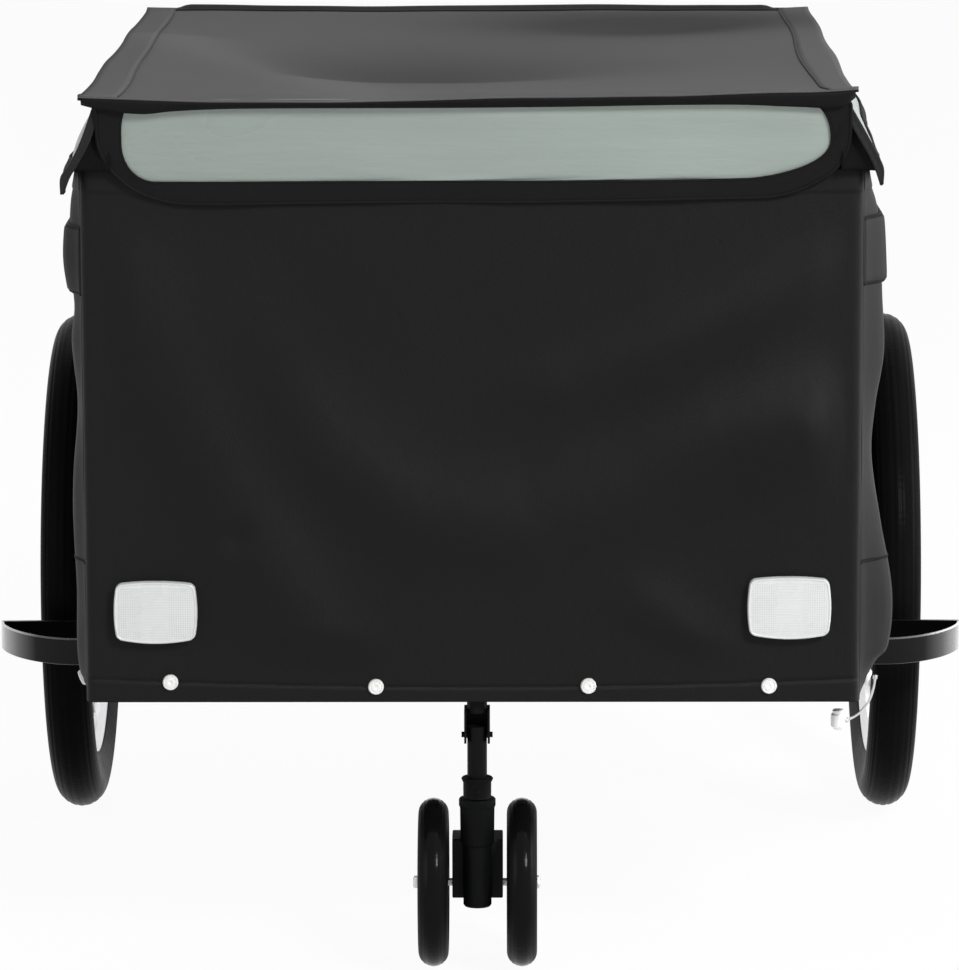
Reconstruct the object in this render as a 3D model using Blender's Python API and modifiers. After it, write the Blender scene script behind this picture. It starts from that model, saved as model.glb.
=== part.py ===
"""Bicycle cargo trailer: a cloth tub with a lift-up cover on a steel tube frame, two spoked wheels on a
through axle, a strip guard ahead of each wheel and a folding twin-wheel caster under the front.

Metres, +Z up, the front faces -Y. The origin is on the ground, under the middle of the outline.
Run with: blender --background --python part.py
"""
from math import cos, pi, radians, sin, sqrt

import bmesh
import bpy
from mathutils import Matrix, Vector

# Clearances
SEAT_GAP = 0.0003
RUNNING_GAP = 0.0005
WHEEL_GAP = 0.001

# Main wheels and axle
WHEEL_RADIUS = 0.203
TYRE_WIDTH = 0.0385
TYRE_CLEARANCE = 0.01575
BEAD_RADIUS = 0.1585
BEAD_WIDTH = 0.024
RIM_WIDTH = 0.0255
RIM_DEPTH = 0.013
WHEEL_STEPS = 48
HUB_LENGTH = 0.046
HUB_BARREL_RADIUS = 0.0115
HUB_FLANGE_RADIUS = 0.021
HUB_FLANGE_THICKNESS = 0.003
HUB_FLANGE_SPACING = 0.034
HUB_STEPS = 24
SPOKE_COUNT = 20
SPOKE_RADIUS = 0.001
SPOKE_SIDES = 8
SPOKE_RIM_OFFSET = 0.004
SPOKE_ROOT = 0.004
AXLE_FROM_REAR = 0.094
AXLE_RADIUS = 0.006
AXLE_NUT_RADIUS = 0.0095
AXLE_NUT_LENGTH = 0.0068
AXLE_END = 0.0012

# Frame tubes
BASE_TUBE_RADIUS = 0.011
TOP_TUBE_RADIUS = 0.008
POST_RADIUS = 0.0075
END_BAR_RADIUS = 0.0105
BOW_RADIUS = 0.004
FLOOR_BAR_RADIUS = 0.008
FLOOR_BAR_SETBACK = 0.200
FLOOR_BAR_SPACING = 0.170
SADDLE_LIFT = 0.003
SADDLE_WIDTH = 0.024
SADDLE_LENGTH = 0.034
SADDLE_BELOW = 0.0045
TUBE_SIDES = 12
BOW_BEND_RADIUS = 0.020
BOW_BEND_STEPS = 4

# Tub
TUB_HALF_WIDTH = 0.275
TUB_LENGTH = 0.669
TUB_HEIGHT = 0.390
CLOTH = 0.0024
SIDE_HEM_LIFT = 0.0052
SIDE_BULGE = 0.020
SIDE_HEM = 0.023
SIDE_HEM_TUCK = 0.62
SIDE_RISE = 0.045
WAIST_DEPTH = 0.38
WAIST_HEIGHT = 0.183
WAIST_REACH = 0.045
RIM_BAND = 0.020
SIDE_COLUMNS = 10
SEAM_TUCK = 0.0012
SIDE_SEAM_STEP = 0.018
SIDE_ROWS = 8
FRONT_FOLD = 0.005
BAND_BOTTOM_BELOW_RIM = 0.0895
BAND_HEIGHT = 0.0555
BAND_THICKNESS = 0.003
BAND_STAND = 0.0024
FLOOR_THICKNESS = 0.005
FLOOR_CLEARANCE = 0.0006
FLOOR_END_CLEARANCE = 0.0015
END_COLUMNS = 12
END_ROWS = 8

# Cover
COVER_HALF_WIDTH = 0.2752
COVER_OVERHANG = 0.024
COVER_RISE = 0.0510
COVER_CLOTH = 0.0020
COVER_SAG = 0.014
COVER_COLUMNS = 12
COVER_ROWS = 14
COVER_HEM = 0.030
SKIRT_CLOTH = 0.0016
PANE_THICKNESS = 0.0008
SKIRT_CORNER = 0.035
PANE_CORNER = 0.030
FRONT_SKIRT_DROP = 0.076
FRONT_SKIRT_HALF = 0.2640
FRONT_SKIRT_INSET = 0.007
FRONT_SKIRT_SLOPE = radians(10.5)
SKIRT_BORDER_SIDE = 0.0125
SKIRT_BORDER_TOP = 0.006
SKIRT_BORDER_BOTTOM = 0.0155
SIDE_SKIRT_DROP = 0.060
SIDE_SKIRT_SLOPE = radians(16.0)
SIDE_SKIRT_INSET = 0.004
SIDE_SKIRT_END = 0.012
SIDE_SKIRT_CORNER = 0.010
SIDE_PANE_CORNER = 0.008
COVER_OPEN_EDGE = 0.0005

# Fasteners and reflectors
SNAP_RADIUS = 0.0058
SNAP_HEIGHT = 0.0030
SNAP_ABOVE_HEM = 0.0125
SNAPS_FROM_RIGHT = (0.0535, 0.2020)
SNAPS_FROM_LEFT = (0.1945, 0.0638)
SIDE_SNAP_SETBACK = 0.034
REFLECTOR_HALF = 0.0298
REFLECTOR_TALL = 0.0448
REFLECTOR_DEPTH = 0.0070
REFLECTOR_PLACE = 0.2285
REFLECTOR_ABOVE_HEM = 0.0690
REFLECTOR_SQUARENESS = 5.0
REFLECTOR_POINTS = 28
REFLECTOR_EDGE = 0.0016
SNAP_SIDES = 14
SIDE_SNAP_STAND = 0.0013

# Wheel guards
GUARD_STRIP = 0.0025
GUARD_HEIGHT = 0.021
GUARD_TOP = 0.195
GUARD_PAST_TYRE = 0.02875
GUARD_TYRE_GAP = 0.010
GUARD_DEPTH = 0.0735
GUARD_NOSE = 0.062
GUARD_ROUNDNESS = 1.7
GUARD_STEPS = 12
GUARD_UNDER_RAIL = 0.0068
GUARD_BRACKET_THICKNESS = 0.0075
GUARD_BRACKET_LENGTH = 0.040

# Tow bar receiver
RECEIVER_WIDTH = 0.030
RECEIVER_LENGTH = 0.064
RECEIVER_WALL = 0.0035
RECEIVER_DROP = 0.030
RECEIVER_SETBACK = 0.128
RECEIVER_PIN_RADIUS = 0.0032
RECEIVER_BACK = 0.010

# Caster
CASTER_WHEEL_RADIUS = 0.0620
CASTER_TYRE_WIDTH = 0.0222
CASTER_HALF_TRACK = 0.0325
CASTER_RIM_RADIUS = 0.0440
CASTER_STEPS = 32
CASTER_TRAIL = 0.030
CASTER_POST_RADIUS = 0.0073
CASTER_AXLE_RADIUS = 0.0030
CASTER_NUT_RADIUS = 0.0052
CASTER_NUT_LENGTH = 0.0022
CASTER_BOLT_END = 0.0035
CASTER_RIM_WIDTH = 0.0170
CASTER_RIM_WALL = 0.0060
CASTER_BOSS_RADIUS = 0.0110
CASTER_WEB = 0.0080
STUB_DROP = 0.0100
KNUCKLE_EAR = 0.0016
KNUCKLE_FRONT = 0.0085
KNUCKLE_BACK = 0.0105
KNUCKLE_BELOW_HEM = 0.0075
KNUCKLE_HEIGHT = 0.0245
KNUCKLE_PIN_RADIUS = 0.0020
KNUCKLE_PIN_END = 0.0020
KNUCKLE_PIN_BELOW = 0.0270
POST_ABOVE_PIN = 0.0065
COLLAR_TOP = 0.1480
COLLAR_RADIUS = 0.0103
COLLAR_LIP_RADIUS = 0.0116
COLLAR_LIP_HEIGHT = 0.0020
HOUSING_TOP = 0.1325
HOUSING_FLANGE_HEIGHT = 0.006
HOUSING_EDGE = 0.001
HOUSING_FLANGE_RADIUS = 0.0134
HOUSING_RADIUS = 0.0126
HOUSING_WAIST = 0.0990
HOUSING_LOWER_RADIUS = 0.0105
HOUSING_BOTTOM = 0.0515
STEM_RADIUS = 0.0050
STEM_BOTTOM = 0.0600
BLOCK_HALF_WIDTH = 0.0190
BLOCK_BOTTOM = 0.0545
BLOCK_BACK = 0.012
BUTTON_Z = 0.1385
BUTTON_RADIUS = 0.0020
BUTTON_STAND = 0.0010
BUTTON_INNER = 0.0052
BUTTON_TRAVEL = 0.0020

# Lanyard and hitch pin
LANYARD_DIAMETER = 0.0020
HITCH_PIN_RADIUS = 0.0026
HITCH_PIN_LENGTH = 0.0150
HITCH_HEAD_RADIUS = 0.0056
HITCH_HEAD_HEIGHT = 0.0034
LANYARD_ROUTE = (
    (0.2904, -0.3430, 0.2195), (0.2900, -0.3425, 0.2150), (0.2886, -0.3405, 0.2065),
    (0.2860, -0.3380, 0.1985), (0.2820, -0.3350, 0.1918), (0.2770, -0.3320, 0.1868),
    (0.2720, -0.3295, 0.1834), (0.2678, -0.3275, 0.1812),
)
LANYARD_STEPS = 14
LANYARD_FINENESS = 12

# Places worked out from the sizes
HALF_TRACK = TUB_HALF_WIDTH + SIDE_BULGE + TYRE_CLEARANCE + TYRE_WIDTH / 2
FRONT_REACH = COVER_OVERHANG + TUB_LENGTH - AXLE_FROM_REAR
AXLE_Y = (FRONT_REACH - WHEEL_RADIUS) / 2
COVER_FRONT = AXLE_Y - FRONT_REACH
TUB_FRONT = COVER_FRONT + COVER_OVERHANG
TUB_REAR = TUB_FRONT + TUB_LENGTH
TUB_MIDDLE = (TUB_FRONT + TUB_REAR) / 2
COVER_REAR = TUB_REAR + COVER_OVERHANG
AXLE_Z = WHEEL_RADIUS
AXLE_BORE_RADIUS = AXLE_RADIUS / cos(pi / TUBE_SIDES) + SEAT_GAP
GUARD_BACK = AXLE_Y - WHEEL_RADIUS - GUARD_TYRE_GAP
GUARD_TIP = HALF_TRACK + TYRE_WIDTH / 2 + GUARD_PAST_TYRE
BASE_Z = AXLE_Z + AXLE_RADIUS + SADDLE_LIFT + BASE_TUBE_RADIUS
HEM_Z = BASE_Z - BASE_TUBE_RADIUS - SIDE_HEM_LIFT
SIDE_HEM_Z = BASE_Z - BASE_TUBE_RADIUS
RIM_Z = HEM_Z + TUB_HEIGHT
TOP_TUBE_Z = RIM_Z - TOP_TUBE_RADIUS - CLOTH
COVER_Z = RIM_Z + COVER_RISE
INNER_HALF = TUB_HALF_WIDTH - CLOTH - SEAT_GAP
INNER_FRONT = TUB_FRONT + CLOTH + SEAT_GAP
INNER_REAR = TUB_REAR - CLOTH - SEAT_GAP
BASE_RAIL_X = INNER_HALF - BASE_TUBE_RADIUS
TOP_RAIL_X = INNER_HALF - TOP_TUBE_RADIUS
POST_X = INNER_HALF - POST_RADIUS
FLOOR_Z = BASE_Z + BASE_TUBE_RADIUS + SEAT_GAP
TYRE_SECTION = TYRE_WIDTH / 2
SWIVEL_Y = INNER_FRONT + BASE_TUBE_RADIUS
CASTER_Y = SWIVEL_Y + CASTER_TRAIL
STUB_BOTTOM = HEM_Z - STUB_DROP
PIN_Z = HEM_Z - KNUCKLE_PIN_BELOW
COVER_HINGE_Y = COVER_REAR + COVER_OPEN_EDGE
BASE_END_Y = {-1: INNER_FRONT + BASE_TUBE_RADIUS, 1: INNER_REAR - BASE_TUBE_RADIUS}
TOP_END_Y = {-1: INNER_FRONT + TOP_TUBE_RADIUS, 1: INNER_REAR - TOP_TUBE_RADIUS}
POST_END_Y = {-1: INNER_FRONT + POST_RADIUS, 1: INNER_REAR - POST_RADIUS}
BAND_BOTTOM_Z = RIM_Z - BAND_BOTTOM_BELOW_RIM
BAND_TOP_Z = BAND_BOTTOM_Z + BAND_HEIGHT
SIDE_SEAM_STATIONS = (SEAM_TUCK, SIDE_SEAM_STEP, SIDE_RISE)
SIDE_MIDDLE_LENGTH = INNER_REAR - INNER_FRONT - 2 * SIDE_SEAM_STATIONS[-1]
SIDE_STATIONS = [INNER_FRONT + back for back in SIDE_SEAM_STATIONS]
SIDE_STATIONS += [SIDE_STATIONS[-1] + SIDE_MIDDLE_LENGTH * i / SIDE_COLUMNS for i in range(1, SIDE_COLUMNS)]
SIDE_STATIONS += [INNER_REAR - back for back in reversed(SIDE_SEAM_STATIONS)]
SIDE_ROW = (BAND_BOTTOM_Z - SIDE_HEM_Z - SIDE_HEM) / SIDE_ROWS
SIDE_LEVELS = [SIDE_HEM_Z] + [SIDE_HEM_Z + SIDE_HEM + SIDE_ROW * row for row in range(SIDE_ROWS + 1)]
SIDE_LEVELS += [(BAND_BOTTOM_Z + BAND_TOP_Z) / 2, BAND_TOP_Z, RIM_Z - RIM_BAND, RIM_Z]
SIDES = (("left", 1), ("right", -1))
ENDS = (("front", -1), ("rear", 1))

# Colours are linear; the last two numbers are roughness and metallic
FINISHES = {
    "black_cloth": ((0.018, 0.018, 0.019), 0.85, 0.0),
    "cover_cloth": ((0.085, 0.085, 0.086), 0.80, 0.0),
    "clear_pane": ((0.34, 0.38, 0.35), 0.25, 0.0),
    "black_paint": ((0.012, 0.012, 0.012), 0.35, 0.6),
    "black_plastic": ((0.015, 0.015, 0.015), 0.45, 0.0),
    "rubber": ((0.012, 0.012, 0.012), 0.50, 0.0),
    "silver_steel": ((0.55, 0.55, 0.56), 0.30, 1.0),
    "white_plastic": ((0.75, 0.76, 0.75), 0.35, 0.0),
    "red_plastic": ((0.45, 0.02, 0.02), 0.30, 0.0),
}


def new_collection(name):
    collection = bpy.data.collections.new(name)
    bpy.context.scene.collection.children.link(collection)
    return collection


def finish(name):
    """The material of this name, made once."""
    if name in bpy.data.materials:
        return bpy.data.materials[name]
    colour, roughness, metallic = FINISHES[name]
    material = bpy.data.materials.new(name)
    material.use_nodes = True
    shader = material.node_tree.nodes["Principled BSDF"]
    shader.inputs["Base Color"].default_value = (*colour, 1.0)
    shader.inputs["Roughness"].default_value = roughness
    shader.inputs["Metallic"].default_value = metallic
    material.diffuse_color = (*colour, 1.0)
    return material


def add_object(name, data, material, collection=None):
    item = bpy.data.objects.new(name, data)
    (collection or PARTS).objects.link(item)
    if material:
        data.materials.append(finish(material))
    return item


def mesh_object(name, shape, material, collection=None):
    """An object whose mesh is this bmesh."""
    mesh = bpy.data.meshes.new(name)
    shape.to_mesh(mesh)
    shape.free()
    return add_object(name, mesh, material, collection)


def smooth(item, angle=40):
    item.data.shade_smooth()
    item.data.set_sharp_from_angle(angle=radians(angle))
    return item


def bevel(item, width, segments=1):
    modifier = item.modifiers.new("edges", "BEVEL")
    modifier.width = width
    modifier.segments = segments
    modifier.limit_method = "ANGLE"
    modifier.angle_limit = radians(35)
    return item


def add_box(shape, size, centre):
    """Adds a box of this size to a bmesh."""
    place = Matrix.Translation(centre) @ Matrix.Diagonal((*size, 1.0))
    return bmesh.ops.create_cube(shape, size=1.0, matrix=place)["verts"]


def box(name, size, centre, material, edge=0.0):
    """A box of this size about its centre."""
    shape = bmesh.new()
    add_box(shape, size, centre)
    item = mesh_object(name, shape, material)
    return bevel(item, edge) if edge else item


def along(axis):
    """The turn that takes +Z to this axis."""
    return Vector((0, 0, 1)).rotation_difference(Vector(axis)).to_matrix().to_4x4()


def add_rod(shape, start, end, radius, sides=TUBE_SIDES):
    """Adds a straight round bar from start to end to a bmesh."""
    start, end = Vector(start), Vector(end)
    run = end - start
    place = Matrix.Translation((start + end) / 2) @ along(run) @ Matrix.Rotation(pi / sides, 4, "Z")
    corner = radius / cos(pi / sides)
    bmesh.ops.create_cone(
        shape, cap_ends=True, segments=sides, radius1=corner, radius2=corner, depth=run.length, matrix=place
    )


def rod(name, start, end, radius, material, sides=TUBE_SIDES):
    """A straight round bar from start to end."""
    shape = bmesh.new()
    add_rod(shape, start, end, radius, sides)
    return smooth(mesh_object(name, shape, material))


def turned(name, profile, steps, material, axis=(0, 0, 1), centre=(0, 0, 0), closed=False):
    """A turned shape: (radius, height) points down the outer side, spun with a Screw modifier."""
    shape = bmesh.new()
    corners = [shape.verts.new((radius, 0, height)) for radius, height in profile]
    for first, second in zip(corners, corners[1:]):
        shape.edges.new((first, second))
    if closed:
        shape.edges.new((corners[-1], corners[0]))
    item = mesh_object(name, shape, material)
    screw = item.modifiers.new("turn", "SCREW")
    screw.steps = steps
    screw.render_steps = steps
    screw.use_merge_vertices = True
    screw.merge_threshold = 0.00001
    screw.use_smooth_shade = True
    item.matrix_world = Matrix.Translation(centre) @ along(axis) @ Matrix.Rotation(pi / steps, 4, "Z")
    return item


def tube(name, points, radius, material, resolution=2, closed=False):
    """A round tube through these points: a poly curve with a bevel and filled caps."""
    curve = bpy.data.curves.new(name, "CURVE")
    curve.dimensions = "3D"
    curve.bevel_depth = radius
    curve.bevel_resolution = resolution
    curve.use_fill_caps = True
    spline = curve.splines.new("POLY")
    spline.points.add(len(points) - 1)
    for point, place in zip(spline.points, points):
        point.co = (*place, 1.0)
    spline.use_cyclic_u = closed
    return add_object(name, curve, material)


def plate(name, outlines, thickness, material, place):
    """A flat plate in its own XY plane with holes: closed outlines, filled and extruded, then placed."""
    curve = bpy.data.curves.new(name, "CURVE")
    curve.dimensions = "2D"
    curve.fill_mode = "BOTH"
    curve.extrude = thickness / 2
    for outline in outlines:
        spline = curve.splines.new("POLY")
        spline.points.add(len(outline) - 1)
        for point, (across, up) in zip(spline.points, outline):
            point.co = (across, up, 0, 1)
        spline.use_cyclic_u = True
    item = add_object(name, curve, material)
    item.matrix_world = place
    return item


def to_mesh(item):
    """The same object as a welded mesh, for a cut or a join."""
    bpy.context.view_layer.update()
    seen = item.evaluated_get(bpy.context.evaluated_depsgraph_get())
    mesh = bpy.data.meshes.new_from_object(seen)
    shape = bmesh.new()
    shape.from_mesh(mesh)
    bmesh.ops.remove_doubles(shape, verts=shape.verts, dist=0.00001)
    shape.to_mesh(mesh)
    shape.free()
    name, place = item.name, item.matrix_world.copy()
    bpy.data.objects.remove(item)
    solid = bpy.data.objects.new(name, mesh)
    PARTS.objects.link(solid)
    solid.matrix_world = place
    return solid


def cut(item, cutter, operation="DIFFERENCE"):
    """Cuts this object with a cutter, which stays hidden in its own collection."""
    for holder in list(cutter.users_collection):
        holder.objects.unlink(cutter)
    CUTTERS.objects.link(cutter)
    cutter.hide_render = True
    cutter.display_type = "WIRE"
    modifier = item.modifiers.new(cutter.name, "BOOLEAN")
    modifier.object = cutter
    modifier.operation = operation
    modifier.solver = "EXACT"
    return item


def rod_cutter(name, start, end, radius, sides=16):
    shape = bmesh.new()
    add_rod(shape, start, end, radius, sides)
    return mesh_object(name, shape, None, CUTTERS)


def box_cutter(name, size, centre):
    shape = bmesh.new()
    add_box(shape, size, centre)
    return mesh_object(name, shape, None, CUTTERS)


def welded(name, bars, material):
    """One solid of round bars, each given by its two ends and its radius and touching one before it."""
    (start, end, radius), *others = bars
    item = rod(name, start, end, radius, material)
    for i, (start, end, radius) in enumerate(others):
        cut(item, rod_cutter(f"{name}_bar_{i}", start, end, radius, TUBE_SIDES), "UNION")
    return item


def cloth(name, across, up, surface, thickness, material):
    """A cloth panel: a grid over 0 to 1 in each direction, laid on a surface, then given its thickness."""
    shape = bmesh.new()
    bmesh.ops.create_grid(shape, x_segments=across, y_segments=up, size=0.5)
    for corner in shape.verts:
        corner.co = surface(corner.co.x + 0.5, corner.co.y + 0.5)
    item = mesh_object(name, shape, material)
    solidify = item.modifiers.new("thickness", "SOLIDIFY")
    solidify.thickness = thickness
    solidify.offset = 0
    return smooth(item, 60)


def rounded_outline(low, high, corner, rounded="both", arc_steps=6):
    """A rectangle from low to high with round corners, at the bottom only or at both ends."""
    outline = []
    places = (
        (high[0] - corner, low[1] + corner, -pi / 2, True),
        (high[0] - corner, high[1] - corner, 0.0, rounded == "both"),
        (low[0] + corner, high[1] - corner, pi / 2, rounded == "both"),
        (low[0] + corner, low[1] + corner, pi, True),
    )
    for middle_x, middle_y, start, is_round in places:
        if is_round:
            for step in range(arc_steps + 1):
                angle = start + step / arc_steps * pi / 2
                outline.append((middle_x + corner * cos(angle), middle_y + corner * sin(angle)))
        else:
            reach = corner * sqrt(2)
            angle = start + pi / 4
            outline.append((middle_x + reach * cos(angle), middle_y + reach * sin(angle)))
    return outline


def frame():
    """The welded base, the end hoops that stand on it and the top rails between them."""
    rail_x = BASE_RAIL_X
    bars = [((-rail_x, BASE_END_Y[-1], BASE_Z), (rail_x, BASE_END_Y[-1], BASE_Z), END_BAR_RADIUS)]
    for _, side in SIDES:
        x = side * rail_x
        bars.append(((x, INNER_FRONT, BASE_Z), (x, INNER_REAR, BASE_Z), BASE_TUBE_RADIUS))
    bars.append(((-rail_x, BASE_END_Y[1], BASE_Z), (rail_x, BASE_END_Y[1], BASE_Z), END_BAR_RADIUS))
    floor_bar_z = FLOOR_Z - SEAT_GAP - FLOOR_BAR_RADIUS
    for i in range(2):
        y = TUB_FRONT + FLOOR_BAR_SETBACK + i * FLOOR_BAR_SPACING
        bars.append(((-rail_x, y, floor_bar_z), (rail_x, y, floor_bar_z), FLOOR_BAR_RADIUS))
    bars.append(((0, SWIVEL_Y, STUB_BOTTOM), (0, SWIVEL_Y, BASE_Z), CASTER_POST_RADIUS))
    base = welded("base_frame", bars, "black_paint")
    saddle_bottom = AXLE_Z - AXLE_RADIUS - SADDLE_BELOW
    bracket_bottom = GUARD_TOP - GUARD_HEIGHT
    bracket_x = BASE_RAIL_X - GUARD_UNDER_RAIL + GUARD_STRIP + SEAT_GAP + GUARD_BRACKET_THICKNESS / 2
    for name, side in SIDES:
        size = (SADDLE_WIDTH, SADDLE_LENGTH, BASE_Z - saddle_bottom)
        centre = (side * rail_x, AXLE_Y, (BASE_Z + saddle_bottom) / 2)
        cut(base, box_cutter(f"{name}_saddle", size, centre), "UNION")
        size = (GUARD_BRACKET_THICKNESS, GUARD_BRACKET_LENGTH, BASE_Z - bracket_bottom)
        centre = (side * bracket_x, GUARD_BACK - GUARD_DEPTH / 2, (BASE_Z + bracket_bottom) / 2)
        cut(base, box_cutter(f"{name}_guard_bracket", size, centre), "UNION")
    reach = Vector((BASE_RAIL_X + SADDLE_WIDTH, 0, 0))
    line = Vector((0, AXLE_Y, AXLE_Z))
    cut(base, rod_cutter("axle_bore", line - reach, line + reach, AXLE_BORE_RADIUS))

    post_bottom = BASE_Z + BASE_TUBE_RADIUS + SEAT_GAP
    for name, end in ENDS:
        y = TOP_END_Y[end]
        bars = [((-INNER_HALF, y, TOP_TUBE_Z), (INNER_HALF, y, TOP_TUBE_Z), TOP_TUBE_RADIUS)]
        for _, side in SIDES:
            x = side * POST_X
            bars.append(((x, y, post_bottom), (x, y, TOP_TUBE_Z), POST_RADIUS))
        welded(f"{name}_hoop", bars, "black_paint")
    ends = [TOP_END_Y[end] - end * (TOP_TUBE_RADIUS + SEAT_GAP) for end in (-1, 1)]
    for name, side in SIDES:
        x = side * TOP_RAIL_X
        front, rear = [Vector((x, y, TOP_TUBE_Z)) for y in ends]
        rod(f"{name}_top_rail", front, rear, TOP_TUBE_RADIUS, "black_paint")


def cover_bows():
    """Two thin bows on the end hoops, just under the cover."""
    foot_z = TOP_TUBE_Z + TOP_TUBE_RADIUS + SEAT_GAP
    top_z = COVER_Z - COVER_CLOTH - SEAT_GAP - BOW_RADIUS
    bend = BOW_BEND_RADIUS
    angles = [i / BOW_BEND_STEPS * pi / 2 for i in range(BOW_BEND_STEPS + 1)]
    outline = [(TOP_RAIL_X, foot_z)]
    outline += [(TOP_RAIL_X - bend + bend * cos(a), top_z - bend + bend * sin(a)) for a in angles]
    outline += [(-x, z) for x, z in reversed(outline)]
    for name, end in ENDS:
        tube(f"{name}_cover_bow", [(x, TOP_END_Y[end], z) for x, z in outline], BOW_RADIUS, "black_paint")


def floor():
    """The stiff floor panel on the rails and floor bars, between the corner posts."""
    half = POST_X - POST_RADIUS - FLOOR_CLEARANCE
    length = INNER_REAR - INNER_FRONT - 2 * FLOOR_END_CLEARANCE
    size = (2 * half, length, FLOOR_THICKNESS)
    box("floor_panel", size, (0, TUB_MIDDLE, FLOOR_Z + FLOOR_THICKNESS / 2), "black_plastic")


def bulge_along(y):
    """How full the side cloth is from the front seam (0) through the middle (1) to the rear seam (0)."""
    from_front = (y - INNER_FRONT) / SIDE_RISE
    from_rear = (INNER_REAR - y) / SIDE_RISE
    return sin(pi / 2 * min(1, max(0, from_front), max(0, from_rear)))


def bulge_up(z):
    """How full the side cloth is at a height: tucked in at the hem and the rim, with a waist between."""
    hem = min(1, (z - SIDE_HEM_Z) / SIDE_HEM)
    rim = min(1, max(0, (RIM_Z - z) / (3 * RIM_BAND)))
    fullness = (1 - SIDE_HEM_TUCK * (1 - hem)) * (0.25 + 0.75 * sin(pi / 2 * rim))
    waist = (z - HEM_Z - WAIST_HEIGHT) / WAIST_REACH
    return fullness * (1 - WAIST_DEPTH * 2.718 ** (-waist * waist))


def side_bulge(station, z):
    return SIDE_BULGE * bulge_along(SIDE_STATIONS[station]) * bulge_up(z)


def span_at(stops, value):
    """The stretch of these rising stops that holds a value, and how far along it the value is."""
    first = max(i for i in range(len(stops) - 1) if stops[i] <= value)
    return first, (value - stops[first]) / (stops[first + 1] - stops[first])


def faceted_bulge(y, z):
    """The side cloth's bulge on its flat facets, between its grid lines."""
    station, across = span_at(SIDE_STATIONS, y)
    row, up = span_at(SIDE_LEVELS, z)
    corners = []
    for level in SIDE_LEVELS[row:row + 2]:
        near, far = side_bulge(station, level), side_bulge(station + 1, level)
        corners.append(near + (far - near) * across)
    return corners[0] + (corners[1] - corners[0]) * up


def tub():
    """Four cloth walls and the wide band on each side wall."""
    columns, rows = len(SIDE_STATIONS) - 1, len(SIDE_LEVELS) - 1
    first = SIDE_ROWS + 1
    for name, side in SIDES:

        def wall(u, v, side=side):
            station, z = round(u * columns), SIDE_LEVELS[round(v * rows)]
            x = TUB_HALF_WIDTH - CLOTH / 2 + side_bulge(station, z)
            return (side * x, SIDE_STATIONS[station], z)

        def band(u, v, side=side):
            station, z = round(u * columns), SIDE_LEVELS[first + round(v * 2)]
            x = TUB_HALF_WIDTH + BAND_STAND + side_bulge(station, z)
            return (side * x, SIDE_STATIONS[station], z)

        cloth(f"{name}_wall", columns, rows, wall, CLOTH, "black_cloth")
        cloth(f"{name}_side_band", columns, 2, band, BAND_THICKNESS, "black_cloth")
    for name, end in ENDS:
        face = TUB_FRONT if end < 0 else TUB_REAR

        def end_wall(u, v, end=end, face=face):
            x = (2 * u - 1) * TUB_HALF_WIDTH
            z = HEM_Z + v * TUB_HEIGHT
            return (x, face - end * (CLOTH / 2 + end_fold(u, v)), z)

        cloth(f"{name}_wall", END_COLUMNS, END_ROWS, end_wall, CLOTH, "black_cloth")


def end_fold(u, v):
    """How far the soft end wall hangs in: nothing at its frame tubes, two slanted folds between."""
    across = max(0.0, sin(pi * (u * 1.16 - 0.08)))
    up = max(0.0, sin(pi * (v * 1.16 - 0.08)))
    slant = 0.55 + 0.45 * cos(2 * pi * (1.3 * u + 0.8 * v))
    return FRONT_FOLD * across * up * slant


def facing(across, up, origin):
    """The place of a flat plate: its local X and Y run along these directions."""
    across, up = Vector(across), Vector(up)
    turn = Matrix((across, up, across.cross(up))).transposed().to_4x4()
    return Matrix.Translation(origin) @ turn


def skirt(name, window_name, place, half, drop, corners, material_pair):
    """A skirt with a hole and the clear pane that is sewn in it, in one plane."""
    skirt_corner, pane_corner = corners
    low = (-half + SKIRT_BORDER_SIDE, -drop + SKIRT_BORDER_BOTTOM)
    high = (half - SKIRT_BORDER_SIDE, -SKIRT_BORDER_TOP)
    border = rounded_outline((-half, -drop), (half, 0), skirt_corner, "bottom")
    hole = rounded_outline(low, high, pane_corner, "bottom")
    pane_low = (low[0] + SEAT_GAP, low[1] + SEAT_GAP)
    pane_high = (high[0] - SEAT_GAP, high[1] - SEAT_GAP)
    pane = rounded_outline(pane_low, pane_high, pane_corner - SEAT_GAP, "bottom")
    skirt_item = plate(name, [border, hole], SKIRT_CLOTH, material_pair[0], place)
    pane_item = plate(window_name, [pane], PANE_THICKNESS, material_pair[1], place)
    return skirt_item, pane_item


def cover_height(x, y):
    """The cover cloth's middle layer: level at the hems and over the bows, sagging between them."""
    hollow = max(0.0, 1 - (x / (COVER_HALF_WIDTH - COVER_HEM)) ** 2)
    between = (y - POST_END_Y[-1]) / (POST_END_Y[1] - POST_END_Y[-1])
    sag = COVER_SAG * hollow * sin(pi * min(1, max(0, between))) ** 2
    return COVER_Z - COVER_CLOTH / 2 - sag


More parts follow.
